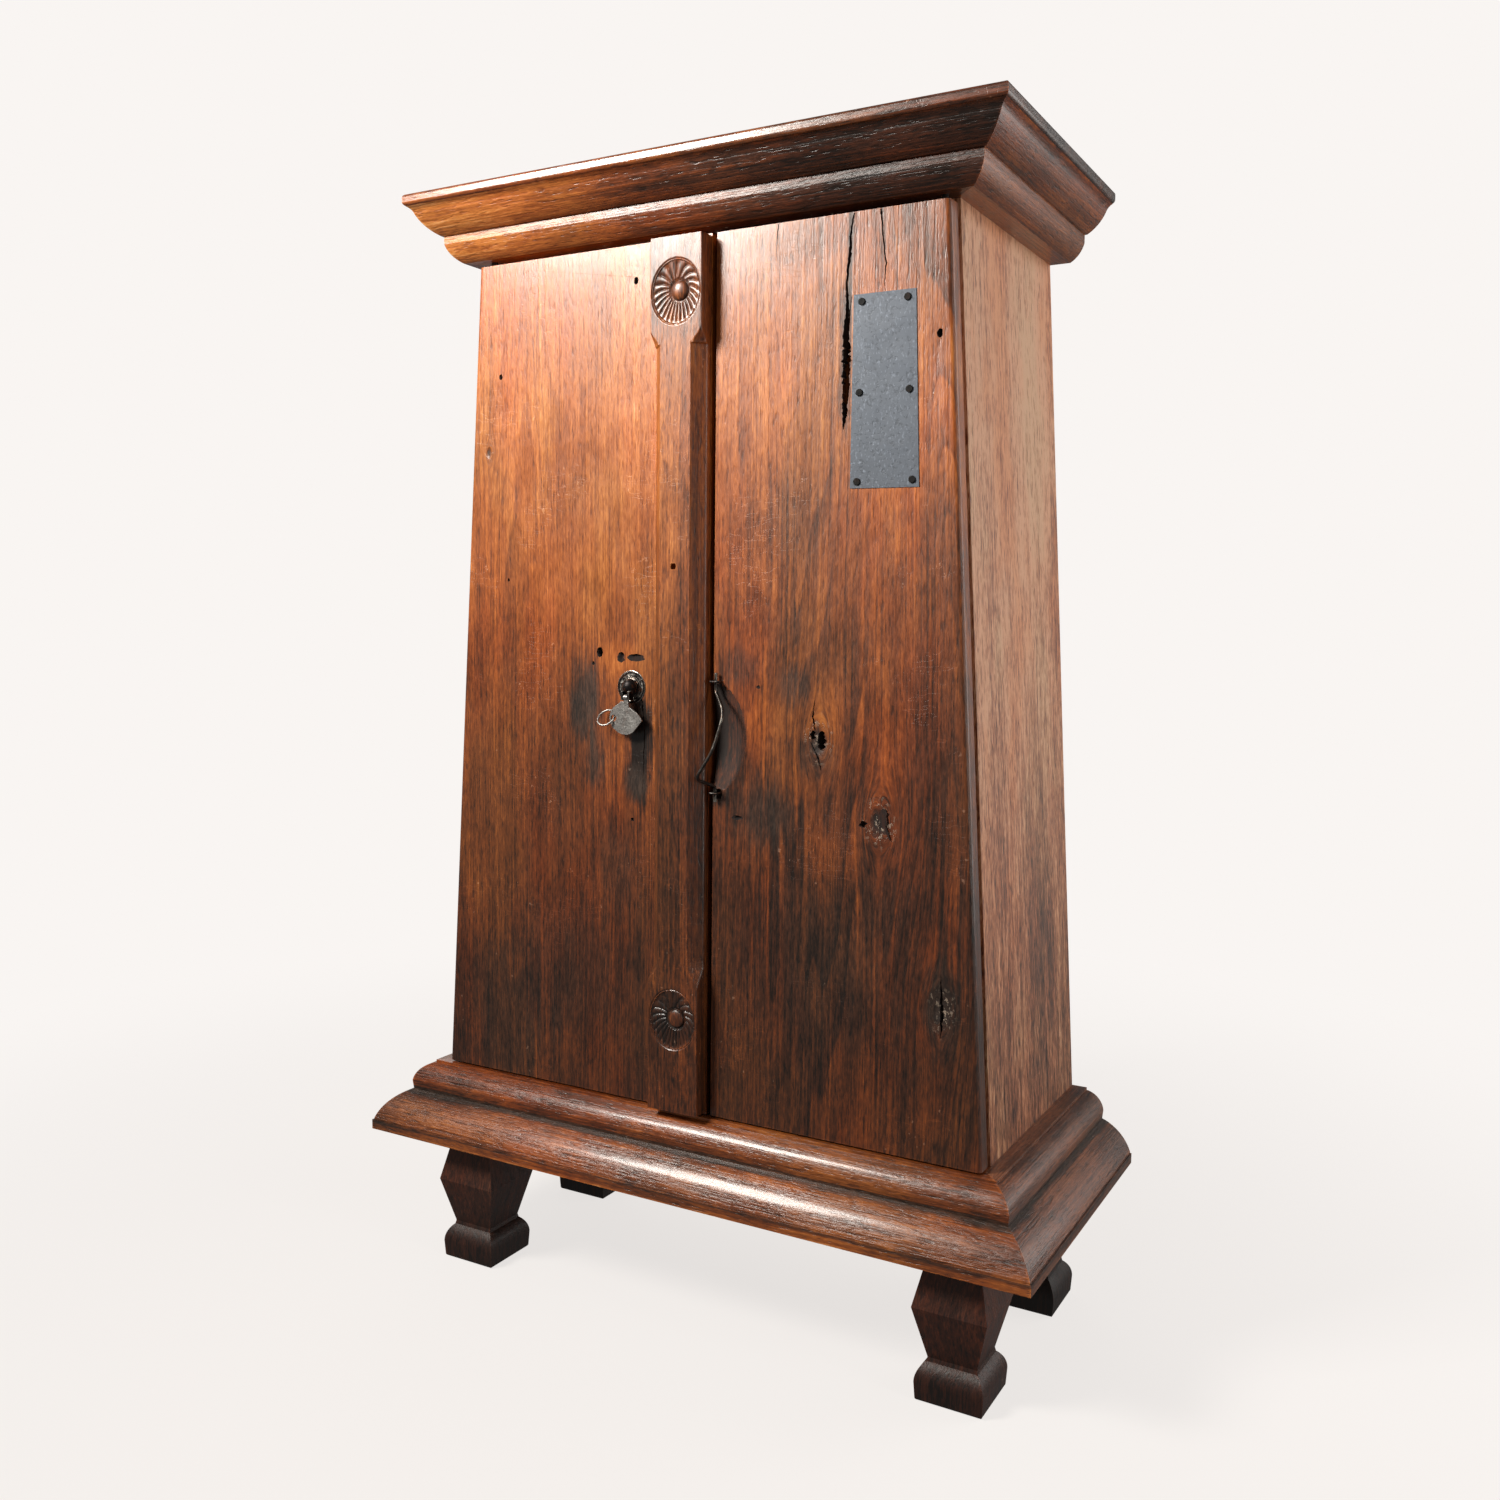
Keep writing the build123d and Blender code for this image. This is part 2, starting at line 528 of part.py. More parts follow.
def latch():
    x, z = LATCH
    spindle = 4.0
    hole = rod((x, -30, z), (x, 60, z), spindle + RUNNING)
    parts["left_door"] -= hole

    rim = rod((x, 0, z), (x, -2.0, z), 18.0) + rod((x, -2.0, z), (x, -3.5, z), 16.0)
    parts["latch_rosette"] = rim - hole

    # The dome is a cap of a sphere, 7 high and 19 across.
    cap = Pos(x, -4.0 + 2.95, z) * Sphere(9.95)
    dome = cap & block(x - 10, x + 10, -12, -4, z - 10, z + 10)
    shaft = rod((x, -4.5, z), (x, 36.0, z), spindle)
    lugs = []
    for side in (-4.2, 4.2):
        lugs.append(block(x + side - 1.2, x + side + 1.2, -13.0, -5.0, z - 13.5, z - 4.0))
    pivot_z = z - 10.5
    pivot_y = -10.0
    pin = rod((x - 5.4, pivot_y, pivot_z), (x + 5.4, pivot_y, pivot_z), 1.2)
    parts["latch_spindle"] = dome + shaft + lugs[0] + lugs[1] + pin

    # The drop hangs from the pin: an eye, a short neck and a flat lobed plate.
    plate = 2.4
    face_plane = Plane((x, pivot_y + plate / 2, pivot_z), x_dir=(1, 0, 0), z_dir=(0, -1, 0))
    lobes = Face(Wire([
        ThreePointArc((-3.4, 0), (-6.5, -4.5), (-13.0, -9.0)),
        ThreePointArc((-13.0, -9.0), (-20.6, -22.0), (-12.0, -36.0)),
        ThreePointArc((-12.0, -36.0), (-1.0, -39.6), (9.5, -36.4)),
        Line((9.5, -36.4), (20.5, -24.0)),
        ThreePointArc((20.5, -24.0), (12.5, -15.0), (3.4, -10.5)),
        Line((3.4, -10.5), (3.4, 0)),
        ThreePointArc((3.4, 0), (0, 2.9), (-3.4, 0)),
    ]))
    drop = extrude(face_plane * lobes, plate)
    drop -= rod((x - 6, pivot_y, pivot_z), (x + 6, pivot_y, pivot_z), 1.2 + RUNNING)
    drop -= block(x - 6, x - 2.9, -20, 0, pivot_z - 4.5, pivot_z + 4)
    drop -= block(x + 2.9, x + 6, -20, 0, pivot_z - 4.5, pivot_z + 4)
    eye = rod((x - 2.7, pivot_y, pivot_z), (x + 2.7, pivot_y, pivot_z), 2.9)
    eye -= rod((x - 3, pivot_y, pivot_z), (x + 3, pivot_y, pivot_z), 1.2 + RUNNING)
    link_hole = (x - 15.6, pivot_z - 22.5)
    drop = drop + eye - rod((link_hole[0], -20, link_hole[1]), (link_hole[0], 0, link_hole[1]), 3.3)
    parts["drop_handle"] = drop

    ring_radius = 10.0
    wire = 1.1
    ring_at = Pos(link_hole[0] - ring_radius, pivot_y, link_hole[1]) * Rot(50, 0, 0)
    parts["drop_ring"] = ring_at * Torus(ring_radius, wire)

    # The bar turns behind the door and drops behind the keeper on the right door.
    bar_front = DOOR_THICK + 2.0
    bar_back = bar_front + 4.0
    reach = 124.0
    bar = block(x - 7, x + 7, bar_front, bar_back, z - 16, z + reach)
    parts["latch_bar"] = bar - rod((x, 0, z), (x, 60, z), spindle)
    keeper_x = MEETING + MEETING_GAP + 6
    back = bar_back + 1.5
    keeper = block(keeper_x, keeper_x + 12, DOOR_THICK, back + 3.0, z - 14, z - 9)
    keeper += block(keeper_x, keeper_x + 12, back, back + 3.0, z - 9, z + 10)
    parts["latch_keeper"] = keeper


def pull():
    """A bow pull that swings on two staples at the right door's meeting edge."""
    leg = 4.0
    wire = 1.3
    out = -8.0
    axis_y = -4.0
    staples = []
    for z in (PULL_TOP, PULL_LOW):
        staple = rod((PULL_X - leg, out, z), (PULL_X + leg, out, z), wire)
        for x in (PULL_X - leg, PULL_X + leg):
            staple += rod((x, 15.0, z), (x, out, z), wire) + Pos(x, out, z) * Sphere(wire)
        parts["right_door"] -= staple
        staples.append(staple)
    parts["pull_staples"] = Compound(children=staples)

    route = [
        (PULL_X, axis_y, PULL_TOP + 9),
        (PULL_X, axis_y, PULL_TOP - 10),
        (51.5, -16.0, DOOR_LOW + 426),
        (44.0, -25.0, DOOR_LOW + 388),
        (26.0, -29.0, DOOR_LOW + 358),
        (PULL_X, axis_y, PULL_LOW + 7),
        (PULL_X, axis_y, PULL_LOW - 9),
    ]
    path = FilletPolyline(*route, radius=[6, 24, 60, 7, 4])
    section = Plane(path @ 0, z_dir=path % 0) * Circle(1.8)
    parts["pull_handle"] = sweep(section, path=path)


def bolts():
    """Shooting bolts on the right door's back, drawn; they slide into mortises in the rails."""
    length = 96.0
    start = 4.0  # a drawn bolt's tip from the rail
    guide_half = 4.0
    guides = []
    runs = {
        "top_bolt": (LINTEL - start, 1, "cornice_rail"),
        "bottom_bolt": (SILL + start, -1, "base_rail"),
    }
    for name, (tip, way, rail) in runs.items():
        tail = tip - way * length
        low, high = sorted((tip, tail))
        middle = (low + high) / 2
        knob = rod((BOLT_X, BOLT_DEPTH, middle), (BOLT_X, BOLT_DEPTH + 12, middle), 3.0)
        parts[name] = rod((BOLT_X, BOLT_DEPTH, low), (BOLT_X, BOLT_DEPTH, high), BOLT_RADIUS) + knob
        mouth, end = sorted((tip, tip + way * (start + MORTISE_DEEP)))
        parts[rail] -= block(
            BOLT_X - MORTISE, BOLT_X + MORTISE, BOLT_DEPTH - MORTISE, BOLT_DEPTH + MORTISE, mouth, end)
        for z in (tip - way * 14, tail + way * 12):
            guide = block(
                BOLT_X - 9, BOLT_X + 9, DOOR_THICK, BOLT_DEPTH + 6.5, z - guide_half, z + guide_half)
            hole = rod((BOLT_X, BOLT_DEPTH, z - 5), (BOLT_X, BOLT_DEPTH, z + 5), BOLT_RADIUS + RUNNING)
            guides.append(guide - hole)
    parts["bolt_guides"] = Compound(children=guides)


def write():
    os.makedirs("parts", exist_ok=True)
    for name, shape in parts.items():
        export_step(Pos(0, -ORIGIN_DEPTH, 0) * shape, f"parts/{name}.step")


mouldings()
feet()
case()
lining()
inside()
doors()
strip()
patch()
latch()
pull()
bolts()
write()
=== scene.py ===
"""Looks of the tapered icebox: procedural wood, iron, zinc and cork on the CAD frame, a carved strip,
worn door boards, forged ironwork and a plain studio. Metres, in the frame of the CAD model."""

import json
import math

import bmesh
import bpy
from mathutils import Matrix, Vector, noise


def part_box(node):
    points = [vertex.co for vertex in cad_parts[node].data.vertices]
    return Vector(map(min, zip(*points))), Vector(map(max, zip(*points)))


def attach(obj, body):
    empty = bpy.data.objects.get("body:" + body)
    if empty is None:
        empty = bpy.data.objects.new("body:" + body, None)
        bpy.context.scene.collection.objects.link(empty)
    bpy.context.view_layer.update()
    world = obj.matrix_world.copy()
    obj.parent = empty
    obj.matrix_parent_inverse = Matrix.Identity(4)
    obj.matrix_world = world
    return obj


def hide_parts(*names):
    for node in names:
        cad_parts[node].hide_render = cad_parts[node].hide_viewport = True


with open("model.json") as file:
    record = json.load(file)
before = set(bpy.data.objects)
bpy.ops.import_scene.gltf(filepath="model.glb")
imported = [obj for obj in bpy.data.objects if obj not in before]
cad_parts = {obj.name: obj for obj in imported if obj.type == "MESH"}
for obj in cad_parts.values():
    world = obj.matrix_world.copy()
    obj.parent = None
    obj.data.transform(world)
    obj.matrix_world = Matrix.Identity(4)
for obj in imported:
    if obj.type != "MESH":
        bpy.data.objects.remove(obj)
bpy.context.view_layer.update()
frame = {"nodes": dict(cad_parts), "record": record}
NODES = frame["nodes"]
MM = 0.001


# ------------------------------------------------------------------ places read from the frame

STRIP_LOW, STRIP_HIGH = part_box("center_strip")
FRONT = STRIP_HIGH.y                      # plane of the door faces
DOOR_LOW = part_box("right_door")[0].z
ROSETTES = [DOOR_LOW + 0.102, DOOR_LOW + 0.843]      # heights of the middles of the strip's rosettes


def on_door(x, z):
    """X and Z of a spot given in millimetres from the middle and from the doors' bottom."""
    return x * MM, DOOR_LOW + z * MM


# ------------------------------------------------------------------ node trees


class Graph:
    """Builds one material's node tree."""

    def __init__(self, name):
        self.material = bpy.data.materials.new(name)
        self.material.use_nodes = True
        self.tree = self.material.node_tree
        self.tree.nodes.clear()
        self.coords = self.node("ShaderNodeTexCoord").outputs["Object"]

    def node(self, kind, inputs=None, **settings):
        made = self.tree.nodes.new(kind)
        for key, value in settings.items():
            setattr(made, key, value)
        for key, value in (inputs or {}).items():
            self.put(made.inputs[key], value)
        return made

    def put(self, socket, value):
        if isinstance(value, bpy.types.NodeSocket):
            self.tree.links.new(value, socket)
        else:
            socket.default_value = value

    def math(self, operation, a, b=0.0):
        return self.node("ShaderNodeMath", {0: a, 1: b}, operation=operation).outputs[0]

    def add(self, *values):
        total = values[0]
        for value in values[1:]:
            total = self.math("ADD", total, value)
        return total

    def times(self, *values):
        total = values[0]
        for value in values[1:]:
            total = self.math("MULTIPLY", total, value)
        return total

    def about_half(self, value, weight):
        """weight times how far value is from a half, the middle of a noise."""
        return self.times(self.math("SUBTRACT", value, 0.5), weight)

    def span(self, value, low, high, to_low=0.0, to_high=1.0):
        """value eased from low..high to to_low..to_high, clamped."""
        made = self.node("ShaderNodeMapRange", {0: value, 1: low, 2: high, 3: to_low, 4: to_high},
                         interpolation_type="SMOOTHSTEP")
        return made.outputs[0]

    def split(self, vector):
        made = self.node("ShaderNodeSeparateXYZ", {0: vector})
        return made.outputs[0], made.outputs[1], made.outputs[2]

    def join(self, x, y, z):
        return self.node("ShaderNodeCombineXYZ", {0: x, 1: y, 2: z}).outputs[0]

    def scaled(self, vector, scale, shift=(0, 0, 0)):
        made = self.node("ShaderNodeVectorMath", {0: vector, 1: scale, 2: shift}, operation="MULTIPLY_ADD")
        return made.outputs[0]

    def noise(self, vector, scale=1.0, detail=2.0, rough=0.5, distort=0.0):
        made = self.node("ShaderNodeTexNoise", {
            "Vector": vector, "Scale": scale, "Detail": detail, "Roughness": rough, "Distortion": distort})
        return made.outputs[0]

    def layer(self, name, vector, shift=(0, 0, 0)):
        """One of the noise layers of the wood."""
        scale, detail, rough, distort = LAYERS[name]
        return self.noise(self.scaled(vector, scale, shift), 1.0, detail, rough, distort)

    def cells(self, vector, scale, feature="F1", output="Distance"):
        made = self.node("ShaderNodeTexVoronoi", {"Vector": vector, "Scale": scale}, feature=feature)
        return made.outputs[output]

    def ramp(self, value, stops, ease="EASE"):
        made = self.node("ShaderNodeValToRGB", {0: value})
        made.color_ramp.interpolation = ease
        points = made.color_ramp.elements
        while len(points) < len(stops):
            points.new(0.5)
        for point, (place, colour) in zip(points, stops):
            point.position = place
            point.color = (*colour, 1.0)
        return made.outputs[0]

    def mix(self, share, a, b, blend="MIX"):
        made = self.node("ShaderNodeMix", data_type="RGBA", blend_type=blend)
        made.clamp_factor = True
        for socket, value in ((made.inputs[0], share), (made.inputs[6], a), (made.inputs[7], b)):
            if isinstance(value, tuple) and len(value) == 3:
                value = (*value, 1.0)
            self.put(socket, value)
        return made.outputs[2]

    def edge(self, radius, low=0.02, high=0.22):
        """1 on sharp edges, 0 on flat faces: the rounded normal compared with the true one."""
        bevel = self.node("ShaderNodeBevel", {"Radius": radius}, samples=4)
        flat = self.node("ShaderNodeNewGeometry").outputs["Normal"]
        dot = self.node("ShaderNodeVectorMath", {0: bevel.outputs[0], 1: flat}, operation="DOT_PRODUCT")
        return self.span(self.math("SUBTRACT", 1.0, dot.outputs["Value"]), low, high)

    def finish(self, colour, rough, height, distance, strength, **sockets):
        """Shader and output. sockets are constant values, kept on the shader's own sockets."""
        bump = self.node("ShaderNodeBump", {"Height": height, "Distance": distance, "Strength": strength})
        shader = self.node("ShaderNodeBsdfPrincipled", {
            "Base Color": colour, "Roughness": rough, "Normal": bump.outputs[0]})
        for key, value in sockets.items():
            shader.inputs[key.replace("_", " ").title().replace("Ior", "IOR")].default_value = value
        out = self.node("ShaderNodeOutputMaterial")
        self.tree.links.new(shader.outputs[0], out.inputs[0])
        return self.material


# Palettes: (tone, colour), from dark to pale.
OILED = [
    (0.00, (0.011, 0.0055, 0.0035)),
    (0.22, (0.060, 0.019, 0.008)),
    (0.42, (0.165, 0.042, 0.011)),
    (0.62, (0.340, 0.090, 0.017)),
    (0.82, (0.560, 0.175, 0.035)),
    (1.00, (0.780, 0.350, 0.125)),
]
# A greyer palette. On the right side and the base's sides it is partly painted sheen, the pale gloss those
# faces take from the light.
GREYED_AND_SHEEN = [
    (0.00, (0.020, 0.009, 0.006)),
    (0.25, (0.095, 0.034, 0.017)),
    (0.50, (0.260, 0.092, 0.042)),
    (0.75, (0.470, 0.190, 0.090)),
    (1.00, (0.680, 0.360, 0.210)),
]
RAW = [
    (0.00, (0.090, 0.045, 0.022)),
    (0.30, (0.240, 0.135, 0.070)),
    (0.60, (0.430, 0.270, 0.150)),
    (1.00, (0.640, 0.450, 0.280)),
]
DARK = [
    (0.00, (0.008, 0.004, 0.003)),
    (0.30, (0.048, 0.015, 0.008)),
    (0.60, (0.140, 0.040, 0.017)),
    (1.00, (0.300, 0.115, 0.055)),
]
# Soot on the doors; the same colour in the base's hollows is painted shade.
SOOT_AND_SHADE = (0.042, 0.023, 0.014)
BARE = (0.46, 0.35, 0.26)

# Noise layers of the wood: scale across, through and along the grain (per metre), detail, roughness
# and distortion.
LAYERS = {
    "broad": ((5.0, 5.0, 1.1), 1.0, 0.5, 0.0),
    "wobble": ((90.0, 90.0, 90.0), 2.0, 0.5, 0.0),
    "field": ((8.5, 8.5, 0.55), 2.0, 0.5, 0.0),
    "figure": ((9.0, 9.0, 3.0), 2.0, 0.5, 0.0),
    "streak": ((190.0, 190.0, 2.6), 3.0, 0.65, 0.0),
    "pore_line": ((610.0, 610.0, 6.0), 2.0, 0.6, 0.0),
    "band": ((24.0, 24.0, 0.9), 2.0, 0.5, 0.0),
    "fibre": ((560.0, 560.0, 105.0), 2.0, 0.65, 0.0),
    "pore": ((430.0, 430.0, 60.0), 1.0, 0.5, 0.0),
    "blotch": ((7.0, 7.0, 3.6), 4.0, 0.60, 0.6),
    "mottle": ((42.0, 42.0, 16.0), 3.0, 0.62, 0.0),
    "hue": ((10.0, 10.0, 3.0), 3.0, 0.6, 0.0),
    "torn": ((30.0, 30.0, 16.0), 4.0, 0.65, 0.0),
    "rubbed_and_highlit": ((60.0, 60.0, 60.0), 3.0, 0.5, 0.0),
    "patchy": ((13.0, 13.0, 13.0), 3.0, 0.5, 0.0),
    "chip": ((150.0, 150.0, 110.0), 2.0, 0.6, 0.0),
    "flake": ((240.0, 240.0, 150.0), 3.0, 0.7, 0.0),
}
# How far each layer moves the tone, the roughness and the height of the surface.
TONE = {
    "streak": 0.46, "pore_line": 0.46, "band": 0.26, "fibre": 0.46, "blotch": 0.42, "mottle": 0.30,
    "pores": -0.12, "knot": -0.36, "scratch": 0.22, "chip": 0.28, "all": 0.02,
}
ROUGH = {"mottle": 0.22, "fibre": 0.16, "scratch": 0.15, "knot": 0.15, "soot_and_shade": 0.18}
HEIGHT = {
    "fibre": 0.20, "pore_line": 0.20, "streak": 0.34, "late": 0.07, "mottle": 0.45, "blotch": 1.6,
    "pores": -0.10, "scratch": -0.12, "knot": -0.9, "bare": 0.35,
}
RINGS = 34.0                              # contours of the ring field
LATE_MEAN = 0.15                          # average darkness of the rings, taken out of the tone
GRAIN_BEND = 0.030                        # how far the grain wanders, in metres
KNOT_STRETCH = 0.45                       # the grain bends over a longer stretch than it bends across
HUES = [(0.0, (1.0, 0.80, 0.62)), (0.5, (1.0, 1.0, 1.0)), (1.0, (0.95, 1.10, 1.12))]
SOOT_AND_SHADE_LIMIT = -0.6                         # stains and painted shade darker than this are black by their tone alone
SOOT_AND_SHADE_COVER = 0.80
BARE_COVER = 0.65
SKIN_DEPTH = (0.004, 0.012)               # where stains fade out, from the face inwards
SCRATCH_SCALE = (34.0, 34.0, 150.0)
BUMP_DISTANCE = 0.001


def round_knots(g, place, across, along, bent, knots):
    """Bends the grain round each knot, as water runs round a stone.

    Returns the bent coordinate, the knots' mask and a wider halo about them.
    """
    knot_mask = 0.0
    halo = 0.0
    for k_across, k_along, radius in knots:
        du = g.math("SUBTRACT", across, k_across)
        dw = g.times(g.math("SUBTRACT", along, k_along), KNOT_STRETCH)
        square = g.add(g.times(du, du), g.times(dw, dw))
        pull = g.math("DIVIDE", g.times(du, radius * radius * 1.6), g.add(square, radius * radius * 0.25))
        bent = g.math("SUBTRACT", bent, pull)
        near = g.math("SQRT", g.add(g.times(du, du), g.times(dw, dw, 2.2)))
        near = g.add(near, g.about_half(g.layer("wobble", place), radius * 0.9))
        knot_mask = g.math("MAXIMUM", g.span(near, radius * 0.35, radius * 1.15, 1.0, 0.0), knot_mask)
        halo = g.math("MAXIMUM", g.span(near, radius * 0.5, radius * 2.2, 1.0, 0.0), halo)
    return bent, knot_mask, halo


def wood(name, order, palette=OILED, tones=((0.0, 0.5), (1.2, 0.5)), seed=0.0, knots=(), stains_and_shade=(),
         rings=1.0, streaks=1.0, blotches=1.0, wear_and_highlight=0.12, scratches=0.5, rough=0.36, coat=0.35,
         relief=1.0, level="Z", lines=0.14, carving_dark=(), skin=None):
    """Wood with its grain along the last axis of order.

    tones gives the tone at heights, or at places along level. knots are (across, along, radius) and
    the stain rows (across, along, half width, half height, tone), painted shade as well as real marks, both
    in metres in the object's frame. lines is how dark the growth rings are, and the carving rows (across,
    along, radius, face, tone) darken what is carved below the face within a radius. With skin, the stain rows
    stay near the surface at that thickness.
    """
    g = Graph(name)
    axes = dict(zip("XYZ", g.split(g.coords)))
    across, thick, along = (axes[letter] for letter in order)
    place = g.join(across, thick, along)

    broad = g.layer("broad", place, (seed, seed * 0.7, seed * 0.3))
    bent = g.add(across, g.about_half(broad, GRAIN_BEND))
    bent, knot_mask, halo = round_knots(g, place, across, along, bent, knots)
    grain = g.join(bent, thick, along)

    # Growth rings are the contours of a field drawn out along the grain.
    field = g.layer("field", grain, (seed * 1.3, seed, seed * 2.1))
    ring = g.math("FRACT", g.times(field, RINGS * rings))
    late = g.times(g.math("POWER", ring, 2.4), g.span(ring, 0.90, 1.0, 1.0, 0.0))
    figure = g.span(g.layer("figure", place, (seed, 3.0, seed)), 0.38, 0.66, 0.25, 1.0)
    late = g.times(late, figure)
    streak = g.layer("streak", grain, (seed, 0, seed))
    pore_line = g.layer("pore_line", grain, (0, seed, 0))
    band = g.layer("band", grain, (seed * 3.0, 0, seed))
    fibre = g.layer("fibre", grain)
    pores = g.span(g.layer("pore", grain, (3.1, 0, 0)), 0.57, 0.68)
    blotch = g.layer("blotch", place, (seed * 5.0, seed, 0))
    mottle = g.layer("mottle", place, (seed, seed, 0))
    hue = g.layer("hue", place, (seed, seed * 2.0, 4.0))

    start = min(p for p, _ in tones)
    reach = max(p for p, _ in tones) - start
    low = g.math("DIVIDE", g.math("SUBTRACT", axes[level], start), reach)
    base = g.ramp(low, [((p - start) / reach, (t, t, t)) for p, t in tones], "LINEAR")
    tone = g.add(
        base,
        g.times(g.math("SUBTRACT", late, LATE_MEAN), -lines),
        g.about_half(streak, TONE["streak"] * streaks),
        g.about_half(pore_line, TONE["pore_line"] * streaks),
        g.about_half(band, TONE["band"] * streaks),
        g.about_half(fibre, TONE["fibre"] * streaks),
        g.about_half(blotch, TONE["blotch"] * blotches),
        g.about_half(mottle, TONE["mottle"] * blotches),
        g.times(pores, TONE["pores"] * streaks),
        TONE["all"],
    )

    # Stains and painted shade have torn edges, drawn out along the grain, and the dark ones carry soot
    # colour, which in the base's hollows is painted shade.
    torn = g.layer("torn", place, (seed, 1.0, 0))
    soot_and_shade = 0.0
    for s_across, s_along, wide, tall, amount in stains_and_shade:
        du = g.math("DIVIDE", g.math("SUBTRACT", across, s_across), wide)
        dw = g.math("DIVIDE", g.math("SUBTRACT", along, s_along), tall)
        far = g.math("SQRT", g.add(g.times(du, du), g.times(dw, dw)))
        far = g.add(far, g.about_half(torn, 1.1), g.about_half(streak, 1.1), g.about_half(mottle, 1.0))
        mask = g.span(far, 0.25, 1.15, 1.0, 0.0)
        if skin is not None:
            mask = g.times(mask, g.span(thick, skin + SKIN_DEPTH[0], skin + SKIN_DEPTH[1], 1.0, 0.0))
        tone = g.add(tone, g.times(mask, amount))
        if SOOT_AND_SHADE_LIMIT < amount < 0.0:
            soot_and_shade = g.add(soot_and_shade, g.times(mask, min(0.9, -2.0 * amount)))
    tone = g.add(tone, g.times(knot_mask, TONE["knot"]))
    for g_across, g_along, radius, face, amount in carving_dark:
        du = g.math("SUBTRACT", across, g_across)
        dw = g.math("SUBTRACT", along, g_along)
        near = g.math("SQRT", g.add(g.times(du, du), g.times(dw, dw)))
        sunk = g.times(g.span(thick, face + 0.0009, face + 0.0034), g.span(near, radius, radius * 0.9))
        tone = g.add(tone, g.times(sunk, amount))

    # Worn edges, paler partly from wear and partly as painted highlight along the arrises, short pale
    # scratches that cross the grain, chips, and flakes off the knots.
    worn = g.times(g.edge(0.0035), g.span(g.layer("rubbed_and_highlit", place), 0.35, 0.62))
    tone = g.add(tone, g.times(worn, wear_and_highlight))
    turned = g.node("ShaderNodeMapping", {
        "Vector": place, "Rotation": (0.0, 0.5, 0.0), "Scale": SCRATCH_SCALE}).outputs[0]
    contour = g.math("ABSOLUTE", g.math("SUBTRACT", g.noise(turned, 1.0, 1.0), 0.5))
    line = g.span(contour, 0.0, 0.010, 1.0, 0.0)
    patchy = g.span(g.layer("patchy", place, (7.0, seed, 2.0)), 0.53, 0.62)
    scratch = g.times(line, patchy, scratches)
    tone = g.add(tone, g.times(scratch, TONE["scratch"]))
    chip = g.layer("chip", place, (seed, 5.0, 1.0))
    chip = g.times(g.span(chip, 0.68, 0.73), g.span(patchy, 0.0, 0.8), scratches)
    tone = g.add(tone, g.times(chip, TONE["chip"]))
    flake = g.span(g.layer("flake", place, (seed, 2.0, 9.0)), 0.54, 0.60)
    bare = g.math("MAXIMUM", g.times(flake, g.span(torn, 0.42, 0.55), halo), g.times(chip, 0.6))

    colour = g.ramp(tone, palette, "LINEAR")
    colour = g.mix(0.8, colour, g.ramp(g.span(hue, 0.32, 0.68), HUES), "MULTIPLY")
    if stains_and_shade:
        # Soot colour over the dark stains; over the base's hollows it is painted shade.
        dark, pale = (tuple(c * scale for c in SOOT_AND_SHADE) for scale in (0.5, 2.0))
        shade = g.mix(g.span(fibre, 0.3, 0.7), dark, pale)
        cover = g.math("MINIMUM", g.times(soot_and_shade, g.span(mottle, 0.3, 0.7, 0.5, 1.1)), SOOT_AND_SHADE_COVER)
        colour = g.mix(cover, colour, shade)
    colour = g.mix(g.times(bare, BARE_COVER), colour, BARE)
    rough_value = g.add(
        rough,
        g.about_half(mottle, ROUGH["mottle"]),
        g.about_half(fibre, ROUGH["fibre"]),
        g.times(scratch, ROUGH["scratch"]),
        g.times(knot_mask, ROUGH["knot"]),
        g.times(g.math("MINIMUM", soot_and_shade, 1.0), ROUGH["soot_and_shade"]) if stains_and_shade else 0.0,
    )
    height = g.add(
        g.times(fibre, HEIGHT["fibre"] * relief),
        g.times(pore_line, HEIGHT["pore_line"] * relief),
        g.times(streak, HEIGHT["streak"] * relief),
        g.times(late, HEIGHT["late"] * relief),
        g.times(mottle, HEIGHT["mottle"] * relief),
        g.times(blotch, HEIGHT["blotch"] * relief),
        g.times(pores, HEIGHT["pores"] * relief),
        g.times(scratch, HEIGHT["scratch"]),
        g.times(knot_mask, HEIGHT["knot"]),
        g.times(bare, HEIGHT["bare"]),
    )
    return g.finish(colour, rough_value, height, BUMP_DISTANCE, 0.9,
                    coat_weight=coat, coat_roughness=0.16, ior=1.48)


RUST = (0.16, 0.052, 0.018)
GLINT = 1.9                               # how much lighter the pale specks are than the metal


def iron(name, dark, light, rough, bright, rust=0.5):
    """Forged iron: hammered, with a dark skin, pale worn edges and high spots that are partly painted
    highlight, and some rust.
    """
    g = Graph(name)
    dents = g.cells(g.coords, 130.0)
    pits = g.noise(g.coords, 900.0, 3.0, 0.65)
    cloud = g.noise(g.coords, 85.0, 4.0, 0.6)
    # Pale edges and high spots: partly wear, partly painted highlight.
    rubbed_and_highlit = g.math("MAXIMUM", g.edge(0.0016, 0.03, 0.3), g.span(cloud, 0.5, 0.72, 0.0, bright))
    rusty = g.span(g.noise(g.coords, 160.0, 3.0), 0.52, 0.68)
    colour = g.mix(g.span(pits, 0.3, 0.7), dark, tuple(c * GLINT for c in dark))
    colour = g.mix(g.times(rusty, rust), colour, RUST)
    colour = g.mix(rubbed_and_highlit, colour, light)
    height = g.add(g.times(dents, 0.5), g.times(pits, 0.18), g.times(cloud, 0.5))
    rough_value = g.add(rough, g.about_half(pits, 0.3), g.times(rubbed_and_highlit, -0.12))
    return g.finish(colour, rough_value, height, 0.0006, 0.8, metallic=0.85)


